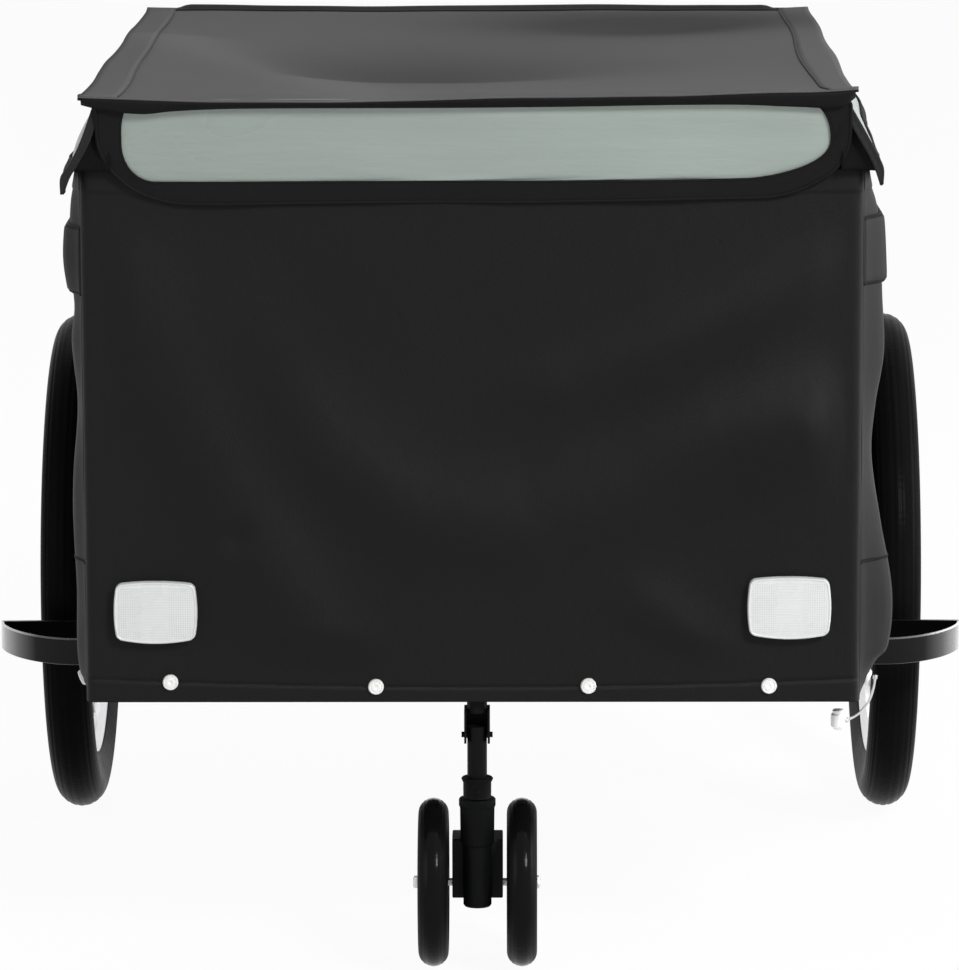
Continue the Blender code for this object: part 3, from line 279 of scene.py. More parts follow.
def box_mesh(shape, size, centre, turn=Matrix()):
    """Adds a box to a mesh in the making."""
    place = Matrix.Translation(centre) @ turn @ Matrix.Diagonal((*size, 1.0))
    bmesh.ops.create_cube(shape, size=1.0, matrix=place)


def along(axis):
    """The turn that takes +Z to this axis."""
    return Vector((0, 0, 1)).rotation_difference(Vector(axis)).to_matrix().to_4x4()


def steps(count):
    """Even shares from 0 to 1."""
    return [i / count for i in range(count + 1)]


def sized(points, radius=0.001, height=0.001):
    """(radius, height) points from shares of a radius and a height, or from millimetres."""
    return [(a * radius, b * height) for a, b in points]


def mirrored(upper, *waist):
    """A turned profile from its upper half, mirrored below an optional waist."""
    return [*upper, *waist, *((radius, -height) for radius, height in reversed(upper))]


# Each finish by its name
FINISHES = {}


def dress(item, finish, body):
    """Links a new piece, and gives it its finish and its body."""
    bpy.context.scene.collection.objects.link(item)
    item.data.materials.append(FINISHES[finish].material)
    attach(item, body)
    return item


def piece(name, shape, finish, body="trailer", angle=180, origin=(0, 0, 0)):
    """A piece of the object from a mesh in the making, riding on a body."""
    mesh = bpy.data.meshes.new(name)
    bmesh.ops.translate(shape, verts=shape.verts, vec=-Vector(origin))
    shape.to_mesh(mesh)
    shape.free()
    mesh.shade_smooth()
    mesh.set_sharp_from_angle(angle=radians(angle))
    item = bpy.data.objects.new(name, mesh)
    item.location = origin
    return dress(item, finish, body)


def cloth(name, shape, thickness, finish, body="trailer"):
    """A sheet of cloth from a flat mesh."""
    item = piece(name, shape, finish, body)
    solid = item.modifiers.new("thickness", "SOLIDIFY")
    solid.thickness = thickness
    solid.offset = 0.0
    return item


def round_edges(item, width, segments=2):
    bevel = item.modifiers.new("edges", "BEVEL")
    bevel.width = width
    bevel.segments = segments
    bevel.limit_method = "ANGLE"
    bevel.angle_limit = radians(35)


def woven(points, mark, closed=False, flip=False):
    """Rows of points filled with faces, whose cloth map is mark(column, row): metres on the flat cloth."""
    shape = bmesh.new()
    layer = shape.loops.layers.uv.new("cloth")
    grid = [[shape.verts.new(point) for point in row] for row in points]
    count = len(grid[0])
    for j in range(len(grid) - 1):
        for i in range(count if closed else count - 1):
            corners = ((i, j), (i + 1, j), (i + 1, j + 1), (i, j + 1))
            face = shape.faces.new([grid[b][a % count] for a, b in corners])
            for loop, (a, b) in zip(face.loops, corners):
                loop[layer].uv = mark(a, b)
    if flip:
        bmesh.ops.reverse_faces(shape, faces=shape.faces)
    return shape


def sheet_mesh(across, up, size, place, flip=False):
    """A grid of cloth laid on place(s, t) at these places across and up, at size metres for each unit."""
    points = [[place(s, t) for s in across] for t in up]
    return woven(points, lambda a, b: ((across[a] - across[0]) * size[0], (up[b] - up[0]) * size[1]),
                 flip=flip)


def ringed(rings, closed=False):
    """Closed rings of points joined by faces. The last ring meets the first, or both ends are capped."""
    shape = bmesh.new()
    rings = [[shape.verts.new(point) for point in ring] for ring in rings]
    for a, b in zip(rings, rings[1:] + (rings[:1] if closed else [])):
        for i in range(len(a)):
            j = (i + 1) % len(a)
            shape.faces.new([a[i], a[j], b[j], b[i]])
    if not closed:
        shape.faces.new(rings[-1])
        shape.faces.new(list(reversed(rings[0])))
    bmesh.ops.recalc_face_normals(shape, faces=shape.faces)
    return shape


def turned(name, profile, count, finish, axis, centre, body="trailer", closed=False, angle=35, own=False):
    """A turned piece: (radius, height) points, spun about an axis through a centre."""
    shape = bmesh.new()
    place = Matrix.Translation(centre) @ along(axis)
    rings = []
    for radius, height in profile:
        turns = [2 * pi * (i + 0.5) / count for i in range(count)] if radius > 1e-6 else [0.0]
        radius = radius if len(turns) > 1 else 0.0
        rings.append([shape.verts.new(place @ Vector((radius * cos(a), radius * sin(a), height)))
                      for a in turns])
    for upper, lower in zip(rings, rings[1:] + (rings[:1] if closed else [])):
        for i in range(count):
            j = (i + 1) % count
            corners = list(dict.fromkeys((upper[i % len(upper)], lower[i % len(lower)],
                                          lower[j % len(lower)], upper[j % len(upper)])))
            if len(corners) > 2:
                shape.faces.new(corners)
    bmesh.ops.recalc_face_normals(shape, faces=shape.faces)
    return piece(name, shape, finish, body, angle, centre if own else (0, 0, 0))


def rod(name, start, end, radius, finish, body="trailer", count=24, edge=0.0):
    """A straight round bar."""
    run = Vector(end) - Vector(start)
    half = run.length / 2
    upper = [(0, half), (radius - edge, half), (radius, half - edge)] if edge else [(0, half), (radius, half)]
    return turned(name, mirrored(upper), count, finish, run, (Vector(start) + Vector(end)) / 2, body)


def tube(name, points, radius, finish, body="trailer", resolution=3, cyclic=False):
    """A round tube through these points."""
    curve = bpy.data.curves.new(name, "CURVE")
    curve.dimensions = "3D"
    curve.bevel_depth = radius
    curve.bevel_resolution = resolution
    curve.use_fill_caps = True
    spline = curve.splines.new("POLY")
    spline.points.add(len(points) - 1)
    for point, place in zip(spline.points, points):
        point.co = (*place, 1.0)
        point.radius = 1.0
    spline.use_cyclic_u = cyclic
    spline.use_smooth = True
    return dress(bpy.data.objects.new(name, curve), finish, body)


def between(stops, value):
    """A smooth curve through (place, height) stops, read at a place."""
    if value <= stops[0][0]:
        return stops[0][1]
    if value >= stops[-1][0]:
        return stops[-1][1]
    i = max(k for k in range(len(stops) - 1) if stops[k][0] <= value)
    before, near, far, after = stops[max(0, i - 1)], stops[i], stops[i + 1], stops[min(len(stops) - 1, i + 2)]
    span = far[0] - near[0]
    t = (value - near[0]) / span
    leave = (far[1] - before[1]) / (far[0] - before[0]) * span
    arrive = (after[1] - near[1]) / (after[0] - near[0]) * span
    return (near[1] * (2 * t ** 3 - 3 * t * t + 1) + leave * (t ** 3 - 2 * t * t + t)
            + far[1] * (3 * t * t - 2 * t ** 3) + arrive * (t ** 3 - t * t))


def ease(value):
    """0 below 0 and 1 above 1, with a smooth rise between."""
    value = min(1.0, max(0.0, value))
    return value * value * (3 - 2 * value)


def bell(gap, width):
    """1 at a gap of nought, fading to 0 over about twice the width."""
    return exp(-(gap / width) ** 2)


def distance_to_line(points, x, z):
    """The distance from a place to a chain of straight runs, and how far along the chain it lies, in runs."""
    best = (1e9, 0.0)
    for i, (start, end) in enumerate(zip(points, points[1:])):
        run_x, run_z = end[0] - start[0], end[1] - start[1]
        share = ((x - start[0]) * run_x + (z - start[1]) * run_z) / (run_x ** 2 + run_z ** 2)
        share = min(1.0, max(0.0, share))
        gap = hypot(x - start[0] - share * run_x, z - start[1] - share * run_z)
        if gap < best[0]:
            best = (gap, i + share)
    return best


def folds_at(folds, x, z):
    """The height of soft folds at a place: each has a width and a chain of places with heights."""
    total = 0.0
    for width, points in folds:
        gap, place = distance_to_line(points, x, z)
        if gap > 3 * width:
            continue
        i = min(int(place), len(points) - 2)
        height = points[i][2] + (points[i + 1][2] - points[i][2]) * ease(place - i)
        total += height * bell(gap, width)
    return total


def cloth_finish(name, shade, roughness, pitch, gloss):
    """Woven cloth: threads, soft creases and faded patches."""
    made = Finish(name, shade, roughness, Specular_IOR_Level=gloss)
    across, up = made.cloth_place()
    threads = across.wave(pitch) * up.wave(pitch) * 0.5 + 0.5
    patches = made.noise(4.5, 4.0, 0.6)
    creases = made.noise(26.0, 4.0, 0.5, (1.0, 1.0, 0.7))
    grain = made.noise(900.0, 2.0, 0.6)
    made.shade(patches * 0.55 + threads * 0.15 + grain * 0.3, 0.72, 1.28)
    made.dull(patches, roughness - 0.08, roughness + 0.06)
    made.bump(creases * 0.75 + threads * 0.10 + grain * 0.15, 0.0022, 0.55)
    return made


def cover_finish(name, shade, pitch):
    """The cover's cloth: painted shade where it hangs hollow, and a painted highlight along the ridge
    between.
    """
    made = cloth_finish(name, shade, 0.58, pitch, 0.004)
    x, y, _ = made.axes(made.where())
    # Painted shade: the cloth's colour darkened in its two hollows.
    painted_hollow_shade = (((x + 0.045) / 0.130).squared() + ((y + 0.078) / 0.130).squared()).falloff() * 0.45
    painted_hollow_shade = painted_hollow_shade + (((x - 0.140) / 0.155).squared() + ((y - 0.210) / 0.090).squared()).falloff() * 0.66
    # Painted highlight: the cloth's colour lightened along the ridge.
    ridge = (((x + 0.235) * 0.945 + (y - 0.060) * 0.327) / 0.036).squared().falloff() * (y < 0.10)
    patches = made.noise(4.5, 4.0, 0.6)
    grain = made.noise(900.0, 2.0, 0.6)
    made.shade(patches * 0.30 + grain * 0.14 + 0.31 + ridge * 0.20 - painted_hollow_shade, 0.46, 1.48)
    return made


def trim_finish(name, shade, pitch):
    """Bound edges: ribbed tape with a row of stitches along it."""
    made = Finish(name, shade, 0.70, Specular_IOR_Level=0.10)
    across, up = made.cloth_place()
    ribs = across.wave(pitch) * 0.5 + 0.5
    stitches = (across.wave(0.0035) > 0.1) * (abs(up - 0.0015) < 0.0004)
    grain = made.noise(700.0, 2.0)
    made.shade(grain * 0.6 + stitches * 0.4, 0.75, 1.9)
    made.dull(grain, 0.62, 0.78)
    made.bump(ribs * 0.4 + grain * 0.3 + stitches * 0.3, 0.0005, 0.6)
    return made


def pane_finish(name, shade):
    """Clear sheet drawn nearly opaque with faint haze: its pale colour is partly the sheet's haze and partly
    painted light for the bright background seen through and reflected in it, and its soft level creases are
    painted into the colour as painted shade and highlight as well as bumped.
    """
    made = Finish(name, shade, 0.30, Specular_IOR_Level=0.5, IOR=1.45)
    creases = made.noise(7.0, 4.0, 0.55, (0.5, 0.5, 6.0))
    haze = made.noise(3.0, 3.0, 0.5, (1.0, 1.0, 2.5))
    scuffs = made.noise(140.0, 3.0, 0.6, (0.3, 0.3, 1.5))
    # Painted shade and highlight of the creases, in the colour.
    made.shade(creases * 0.6 + haze * 0.4, 0.84, 1.14)
    made.dull(haze, 0.24, 0.40)
    made.put("Alpha", made.ramp(haze * 0.7 + scuffs * 0.3, (0.3, 0.90), (0.7, 0.97)))
    made.bump(creases * 0.8 + scuffs * 0.2, 0.0040)
    return made


def paint_finish(name, shade, gloss):
    """Powder coat: a fine orange peel, dulled in patches."""
    made = Finish(name, shade, 0.42, Specular_IOR_Level=gloss)
    patches = made.noise(14.0, 4.0, 0.6)
    made.shade(patches, 0.80, 1.25)
    made.dull(patches, 0.34, 0.50)
    made.bump(made.noise(520.0), 0.00025)
    return made


def plastic_finish(name, shade, roughness=0.48, gloss=0.40):
    """Moulded plastic: a fine leathery grain, rubbed smoother in patches."""
    made = Finish(name, shade, roughness, Specular_IOR_Level=gloss)
    grain = made.add("ShaderNodeTexVoronoi", {"feature": "F1", "voronoi_dimensions": "3D"},
                     {"Vector": made.where(), "Scale": 950.0})
    rubbed = made.noise(32.0, 4.0, 0.6)
    specks = made.noise(420.0, 2.0, 0.7)
    made.shade(rubbed * 0.7 + specks * 0.3, 0.80, 1.25)
    made.dull(rubbed, roughness - 0.10, roughness + 0.10)
    made.bump(grain * 0.7 + specks * 0.3, 0.00018)
    return made


def guard_finish(name, shade):
    """The guards' strip: a pale painted highlight along its upper outer edge, paler painted highlights at its
    tips, and a glossy coat near the tips.
    """
    made = plastic_finish(name, shade, 0.28, 0.14)
    x, y, z = made.axes(made.where())
    reach = abs(x) / GUARD_TIP
    # Random strength of the painted highlights below.
    scuffs = made.noise(60.0) * 0.5 + 0.65
    edge_highlight_reach = made.ramp(reach, (0.78, 0.06), (0.91, 0.22), (0.955, 0.80), (0.99, 1.0))
    # Painted highlight: a pale line along the upper outer edge, strongest towards the tip.
    edge = (z > GUARD_HIGH - 0.0012) * (y < GUARD_BACK - 0.008) * edge_highlight_reach
    # Painted highlight: the tips' pale colour. The coat set below is real gloss.
    tip = made.ramp(reach, (0.955, 0.0), (0.985, 0.25), (0.998, 1.0))
    made.put("Coat Weight", made.ramp(reach, (0.915, 0.0), (0.975, 1.0)))
    made.put("Coat Roughness", 0.10)
    made.put("Coat IOR", 2.0)
    dark = made.shade(made.noise(32.0, 4.0, 0.6), 0.80, 1.25)
    # Blends the pale painted highlights at the tips and along the edge over the dark plastic.
    rubbed = made.blend(tip * scuffs * 0.75, dark, (0.62, 0.62, 0.62, 1.0))
    made.put("Base Color", made.blend(edge * scuffs, rubbed, (0.80, 0.80, 0.80, 1.0)))
    return made


def steel_finish(name, shade, roughness=0.30, metallic=1.0):
    """Plated steel: fine brushing, and a duller bloom in patches."""
    made = Finish(name, shade, roughness, metallic)
    brushed = made.noise(260.0, 3.0, 0.5, (1.0, 0.12, 1.0))
    bloom = made.noise(45.0, 4.0, 0.6)
    made.shade(bloom * 0.6 + brushed * 0.4, 0.78, 1.20)
    made.dull(bloom, roughness - 0.08, roughness + 0.12)
    made.bump(brushed, 0.00012, 0.4)
    return made


def tyre_finish(name, shade, ring_pitch, ribs, depth, roughness, gloss, half_width, shoulder):
    """Rubber: moulded rings, knurled by ribs round the tyre, dusty, and duller at its shoulders."""
    made = Finish(name, shade, roughness, Specular_IOR_Level=gloss)
    x, y, z = made.axes(made.where())
    rings = ((y * y + z * z) ** 0.5).wave(ring_pitch) * 0.5 + 0.5
    knurl = (y.math("ARCTAN2", z) * float(ribs)).math("SINE") * 0.5 + 0.5
    dust = made.noise(18.0, 4.0, 0.6)
    scuffs = made.noise(190.0, 3.0, 0.6)
    made.shade(dust * 0.6 + scuffs * 0.4, 0.75, 1.45)
    bloom = made.ramp(dust * 0.7 + scuffs * 0.3, (0.3, roughness - 0.05), (0.7, roughness + 0.08))
    made.put("Roughness", bloom + made.ramp(abs(x) / half_width, (0.35, 0.0), (0.80, shoulder)))
    made.bump(rings * 0.35 + knurl * 0.15 + scuffs * 0.5, depth)
    return made


LENS_HALF = (0.0297, 0.0223)


def lens_finish(name, shade, pitch):
    """A moulded reflector: small diamonds in the outer thirds, finer ribs in the brighter middle band."""
    made = Finish(name, shade, 0.28, Specular_IOR_Level=0.5, Coat_Weight=0.35, Coat_Roughness=0.12)
    x, _, z = made.axes(made.where())
    diamonds = (x + z).wave(pitch) * (x - z).wave(pitch) * 0.5 + 0.5
    ribs = z.wave(pitch / 1.6) * 0.5 + 0.5
    inside = (abs(x) < LENS_HALF[0] * 0.90) * (abs(z) < LENS_HALF[1] * 0.84)
    pattern = made.blend(abs(x) > LENS_HALF[0] / 3, ribs * 0.35 + 0.45, diamonds)
    haze = made.noise(60.0)
    made.shade((pattern * 0.75 + haze * 0.25) * inside + (haze * 0.3 + 0.55) * (1 - inside), 0.86, 1.08)
    made.dull(haze, 0.22, 0.36)
    made.bump(pattern * inside, 0.00022)
    return made


def nodes_take(finish, *names):
    """Gives frame nodes that stay in view their finish."""
    for name in names:
        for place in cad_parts[name].material_slots:
            place.material = FINISHES[finish].material


class TRAILER_OT_finishes(bpy.types.Operator):
    """Makes the materials of the trailer's cloth, fittings, wheels and frame"""
    bl_idname = "trailer.finishes"
    bl_label = "Finishes"

    def execute(self, context):
        cloths, wheels = context.scene.trailer_cloth, context.scene.trailer_wheel
        fittings = context.scene.trailer_fitting
        tub, cover, pitch = tuple(cloths.tub_colour), tuple(cloths.cover_colour), cloths.weave_pitch
        tread = wheels.tread_depth
        FINISHES.update({
            "tub_cloth": cloth_finish("tub_cloth_weave", tub, 0.44, pitch, 0.115),
            # The tub's cloth made 3.2 times lighter: painted sheen for the side walls, which are seen at a
            # grazing angle.
            "painted_sheen_cloth": cloth_finish("side_cloth_weave", tuple(c * 3.2 for c in tub), 0.46, pitch, 0.08),
            # The cover cloth's grey is partly painted sheen.
            "cover_cloth": cover_finish("cover_cloth_weave", cover, pitch),
            "trim": trim_finish("binding_tape", (0.0052, 0.0052, 0.0053), 0.0012),
            "seam": trim_finish("cover_seam_thread", tuple(c * 0.30 for c in cover), 0.0016),
            # Near-black cloth for the corner tucks: painted shade in the gap between the skirts.
            "painted_shade_lining": trim_finish("shaded_lining", (0.0014, 0.0014, 0.0014), 0.0012),
            "pane": pane_finish("clear_pane_sheet", tuple(cloths.pane_colour)),
            "paint": paint_finish("black_powder_coat", (0.0050, 0.0050, 0.0052), 0.05),
            "plastic": plastic_finish("black_moulded_plastic", (0.0036, 0.0038, 0.0038), 0.46, 0.05),
            "guard": guard_finish("guard_moulded_plastic", (0.0036, 0.0036, 0.0037)),
            # Near-black plastic for the guards' inner faces: painted shade.
            "guard_inner_painted_shade": plastic_finish("guard_inner_face_painted_shade", (0.0010, 0.0010, 0.0010), 0.60, 0.02),
            # The axle block's plastic is lighter than the other black plastic: painted light for its shaded
            # faces.
            "block": plastic_finish("caster_block_painted_light_plastic", (0.0130, 0.0135, 0.0133), 0.50, 0.08),
            "board": plastic_finish("floor_board", (0.022, 0.022, 0.023), 0.60, 0.30),
            "white_plastic": plastic_finish("white_moulded_plastic", (0.74, 0.74, 0.73), 0.36),
            "steel": steel_finish("zinc_plated_steel", tuple(fittings.metal_colour)),
            "bright_steel": steel_finish("polished_pin_steel", (0.86, 0.86, 0.87), 0.24),
            "satin_steel": steel_finish("satin_pin_steel", (0.90, 0.90, 0.90), 0.46, 0.45),
            "cable": steel_finish("twisted_wire_steel", (0.70, 0.70, 0.71), 0.36),
            "alloy": steel_finish("rim_alloy", (0.72, 0.72, 0.73), 0.28),
            "rubber": tyre_finish("tyre_rubber", (0.0045, 0.0046, 0.0046), 0.0026, 220, tread, 0.26, 0.008,
                                  0.0192, 0.06),
            "caster_rubber": tyre_finish("caster_rubber", (0.0034, 0.0035, 0.0035), 0.0030, 70, tread / 2,
                                         0.14, 0.06, 0.0111, 0.40),
            "lens": lens_finish("white_reflector_lens", tuple(fittings.reflector_colour), 0.0033),
            "red_lens": lens_finish("red_reflector_lens", (0.42, 0.012, 0.010), 0.0042),
        })
        return {"FINISHED"}


class TRAILER_OT_stage(bpy.types.Operator):
    """Makes the camera, the pale floor, the white surroundings and the soft lamps"""
    bl_idname = "trailer.stage"
    bl_label = "Stage"

    def execute(self, context):
        stage = context.scene.trailer_stage
        lens = bpy.data.cameras.new("camera")
        lens.lens = stage.lens
        lens.clip_end = 400.0
        camera = bpy.data.objects.new("camera", lens)
        camera.matrix_world = Matrix.Translation(stage.camera_place) @ self.camera_turn(stage)
        context.scene.collection.objects.link(camera)
        context.scene.camera = camera
        context.scene.view_settings.view_transform = "Standard"
        self.make_floor(stage)
        self.make_surroundings(context, stage)
        heart = (0.0, -0.1, 0.3)
        for name, place, target, size, strength in (
                ("key_lamp", (2.1, -3.0, 2.7), heart, 0.9, 0.78),
                ("fill_lamp", (-2.8, -2.0, 1.4), heart, 1.8, 0.12),
                ("back_lamp", (-0.6, 2.6, 3.4), (0.0, 0.0, 0.5), 1.8, 0.10),
                ("top_lamp", (1.75, -0.2, 3.2), (0.3, 0.0, 0.4), 1.4, 0.10),
                ("left_lamp", (3.4, 0.5, 1.0), (0.3, -0.1, 0.3), 1.6, 0.70)):
            self.soft_lamp(name, place, target, size, strength * stage.lamp_strength)
        return {"FINISHED"}

    def camera_turn(self, stage):
        """The camera's axes as a turn: to the right, up, and back from what it looks at."""
        pitch, yaw, roll = stage.camera_pitch, stage.camera_yaw, stage.camera_roll
        ahead = Vector((sin(yaw) * cos(pitch), cos(yaw) * cos(pitch), -sin(pitch)))
        right = Vector((cos(yaw), -sin(yaw), 0.0))
        up = right.cross(ahead)
        leaning = cos(roll) * right + sin(roll) * up
        upright = cos(roll) * up - sin(roll) * right
        return Matrix((leaning, upright, -ahead)).transposed().to_4x4()

    def soft_lamp(self, name, place, target, size, strength):
        """A square lamp that gives the target this strength of light, where 1 lights white to white."""
        lamp = bpy.data.lights.new(name, "AREA")
        lamp.shape = "SQUARE"
        lamp.size = size
        away = Vector(place) - Vector(target)
        lamp.energy = strength * pi * pi * away.length_squared
        item = bpy.data.objects.new(name, lamp)
        item.matrix_world = Matrix.Translation(place) @ along(away)
        bpy.context.scene.collection.objects.link(item)

    def make_floor(self, stage):
        shape = bmesh.new()
        bmesh.ops.create_circle(shape, cap_ends=True, segments=96, radius=60.0)
        mesh = bpy.data.meshes.new("floor")
        shape.to_mesh(mesh)
        shape.free()
        floor = bpy.data.objects.new("floor", mesh)
        bpy.context.scene.collection.objects.link(floor)
        made = Finish("pale_floor", tuple(stage.floor_colour), 0.9, Specular_IOR_Level=0.0)
        glow = made.add("ShaderNodeEmission", None, {"Color": WHITE, "Strength": 1.0})
        lit = Field(made, made.shader.outputs[0])
        mixed = made.add("ShaderNodeMixShader", None, {0: made.shows_background() * 0.95, 1: lit, 2: glow})
        made.join(made.tree.nodes["Material Output"].inputs["Surface"], mixed)
        mesh.materials.append(made.material)

    def make_surroundings(self, context, stage):
        """White where the background shows, and a weaker light all round for the rest."""
        world = bpy.data.worlds.new("surroundings")
        world.use_nodes = True
        made = Nodes(world.node_tree)
        sky = made.tree.nodes["Background"]
        made.join(sky.inputs["Color"], WHITE)
        made.join(sky.inputs["Strength"], stage.sky_strength)
        white = made.add("ShaderNodeBackground", None, {"Color": WHITE, "Strength": 1.0})
        mixed = made.add("ShaderNodeMixShader", None,
                         {0: made.shows_background(), 1: Field(made, sky.outputs[0]), 2: white})
        made.join(made.tree.nodes["World Output"].inputs["Surface"], mixed)
        context.scene.world = world


def smooth_route(route, count):
    """Evenly read points on a smooth curve through the route's own points."""
    ends = [route[0] * 2 - route[1]] + route + [route[-1] * 2 - route[-2]]
    found = []
    for share in steps(count):
        place = share * (len(route) - 1)
        i = min(int(place), len(route) - 2)
        t = place - i
        a, b, c, d = ends[i:i + 4]
        found.append(0.5 * (2 * b + (c - a) * t + (2 * a - 5 * b + 4 * c - d) * t * t
                            + (3 * b - a - 3 * c + d) * t ** 3))
    return found


class TRAILER_OT_lanyard(bpy.types.Operator):
    """Hangs the wire lanyard from its snap, with the hitch pin and its ferrules"""
    bl_idname = "trailer.lanyard"
    bl_label = "Pin lanyard"

    def execute(self, context):
        route = [Vector(p) for p in (
            (0.2904, -0.3430, 0.2195), (0.2900, -0.3425, 0.2150), (0.2886, -0.3405, 0.2065),
            (0.2860, -0.3380, 0.1985), (0.2820, -0.3350, 0.1918), (0.2770, -0.3320, 0.1868),
            (0.2720, -0.3295, 0.1834), (0.2678, -0.3275, 0.1812))]
        points = smooth_route(route, 28)
        wire = tube("lanyard_cable", points, 0.0010, "cable")
        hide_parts("lanyard_wire")
        run = sum((b - a).length for a, b in zip(points, points[1:]))
        ferrules = [rod("lanyard_%s_ferrule" % name, points[i], points[i + 3], 0.0017, "steel", edge=0.0004)
                    for name, i in (("upper", 0), ("lower", 24))]
        barrel = ((0, 7.5), (0.70, 7.5), (0.80, 6.8), (0.80, 4.5), (0.97, 4.0), (1, 3.4), (1, -4.0),
                  (0.96, -5.0), (0.72, -5.8), (0.66, -6.75), (0.5, -7.5), (0, -7.5))
        pin = turned("hitch_pin_barrel", sized(barrel, radius=half_size("hitch_pin")[0]), 48, "satin_steel",
                     (0, 0, 1), middle("hitch_pin"), own=True)
        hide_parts("hitch_pin")
        return {"FINISHED"}


# Cloth of the tub
WALL_PLANES = {-1: TUB_FRONT + 0.0015, 1: TUB_REAR - 0.0015}
CORNERS = {"left": 0.2764, "right": 0.2822}
CORNER_ROUND = 0.006
FRONT_SEAM, REAR_SEAM = [WALL_PLANES[end] - end * CORNER_ROUND for _, end in ENDS]
SIDE_LENGTH = REAR_SEAM - FRONT_SEAM
CLOTH_THICKNESS = 0.0012
HEM_SEAM = 0.2235
RIM_SEAM = 0.5775
SIDE_SEAM = 0.308
REFLECTOR_PLACES = {"left": (0.2255, 0.2768), "right": (-0.2318, 0.2738)}
# Soft folds of the end walls: a width, then places across and up with the height of the fold there
FOLDS = {
    "front": (
        (0.036, ((-0.272, 0.560, 0.0), (-0.245, 0.500, 0.6), (-0.190, 0.385, 0.9), (-0.155, 0.315, 1.0),
                 (-0.112, 0.240, 0.7))),
        (0.034, ((-0.200, 0.540, 0.0), (-0.150, 0.455, 0.5), (-0.105, 0.390, 0.8), (-0.045, 0.345, 0.9),
                 (0.040, 0.334, 0.9), (0.110, 0.362, 1.1), (0.175, 0.396, 1.4), (0.230, 0.412, 1.6),
                 (0.274, 0.414, 1.4))),
        (0.024, ((-0.020, 0.430, 0.0), (0.070, 0.438, 0.5), (0.125, 0.458, 0.7), (0.190, 0.490, 0.8),
                 (0.260, 0.532, 0.5))),
        (0.020, ((0.080, 0.300, 0.0), (0.130, 0.275, 0.5), (0.170, 0.240, 0.4))),
        (0.011, ((-0.186, 0.337, 0.0), (-0.173, 0.329, -0.45), (-0.160, 0.321, 0.0))),
    ),
    "rear": (
        (0.036, ((-0.250, 0.500, 0.0), (-0.190, 0.420, 0.8), (-0.100, 0.350, 1.0), (-0.020, 0.260, 0.6))),
        (0.034, ((0.010, 0.470, 0.0), (0.080, 0.410, 0.8), (0.160, 0.360, 1.0), (0.230, 0.290, 0.6))),
        (0.024, ((-0.200, 0.530, 0.0), (-0.060, 0.505, 0.6), (0.080, 0.510, 0.6), (0.220, 0.545, 0.0))),
    ),
}
# How far out each side wall stands at its fullest: heights with distances from the middle
SILHOUETTES = {
    "left": ((0.2068, 0.2775), (0.2315, 0.2905), (0.2400, 0.2985), (0.2810, 0.3010), (0.3350, 0.2925),
             (0.3840, 0.2858), (0.4200, 0.2885), (0.4580, 0.2940), (0.5000, 0.2915), (0.5540, 0.2885),
             (0.5686, 0.2862), (0.5800, 0.2830), (0.5972, 0.2800)),
    "right": ((0.2068, 0.2800), (0.2270, 0.2900), (0.2910, 0.2920), (0.3720, 0.2918), (0.4240, 0.2882),
              (0.4680, 0.2915), (0.4930, 0.2895), (0.5260, 0.2935), (0.5550, 0.2918), (0.5700, 0.2905),
              (0.5800, 0.2888), (0.5972, 0.2862)),
}
BANDS = {"left": (BAND_LOW + 0.0020, BAND_HIGH - 0.0040), "right": (BAND_LOW - 0.0050, BAND_HIGH - 0.0110)}


def sewn_edge(seam, z, rise, dip):
    """Cloth doubled below a stitched seam: a small rise, and a dip along the stitches."""
    return rise * ease((seam - z) / 0.0012) - dip * bell(z - seam, 0.0011)


def end_wall_depth(name, end, height, x, z):
    """Where the cloth of an end wall stands along the trailer, at a place on the wall."""
    soft = folds_at(FOLDS[name], x, z) * height
    soft += noise.noise(Vector((x * 9.0, z * 9.0, 3.0 + end))) * 0.0007
    inward = CORNERS["left" if x > 0 else "right"] - abs(x)
    soft *= ease((inward - 0.010) / 0.030) * ease((RIM_SEAM - 0.006 - z) / 0.040)
    soft *= ease((z - HEM_SEAM - 0.006) / 0.035)
    for centre_x, centre_z in REFLECTOR_PLACES.values() if end < 0 else ():
        gap = max(abs(x - centre_x) - 0.030, abs(z - centre_z) - 0.023)
        soft *= ease((gap + 0.004) / 0.022)
    soft += 0.0010 * ease((z - RIM_SEAM) / 0.0015) + sewn_edge(hem_line(x), z, 0.0006, 0.0009)
    return WALL_PLANES[end] + end * max(soft, -0.0016)


def hem_line(x):
    """The stitched line of the lower hem, which hangs lowest in the middle."""
    return HEM_SEAM - 0.0060 * (1 - (x / TUB_HALF) ** 2)


def wall_rows(coarse, fine=0.0012):
    """Heights from the hem to the rim: finer near the lower hem and the rim seam."""
    heights = [HEM]
    while heights[-1] < RIM - 1e-6:
        z = heights[-1]
        near = z < HEM_SEAM + 0.004 or abs(z - RIM_SEAM) < 0.003
        heights.append(min(RIM, z + (fine if near else coarse)))
    return heights


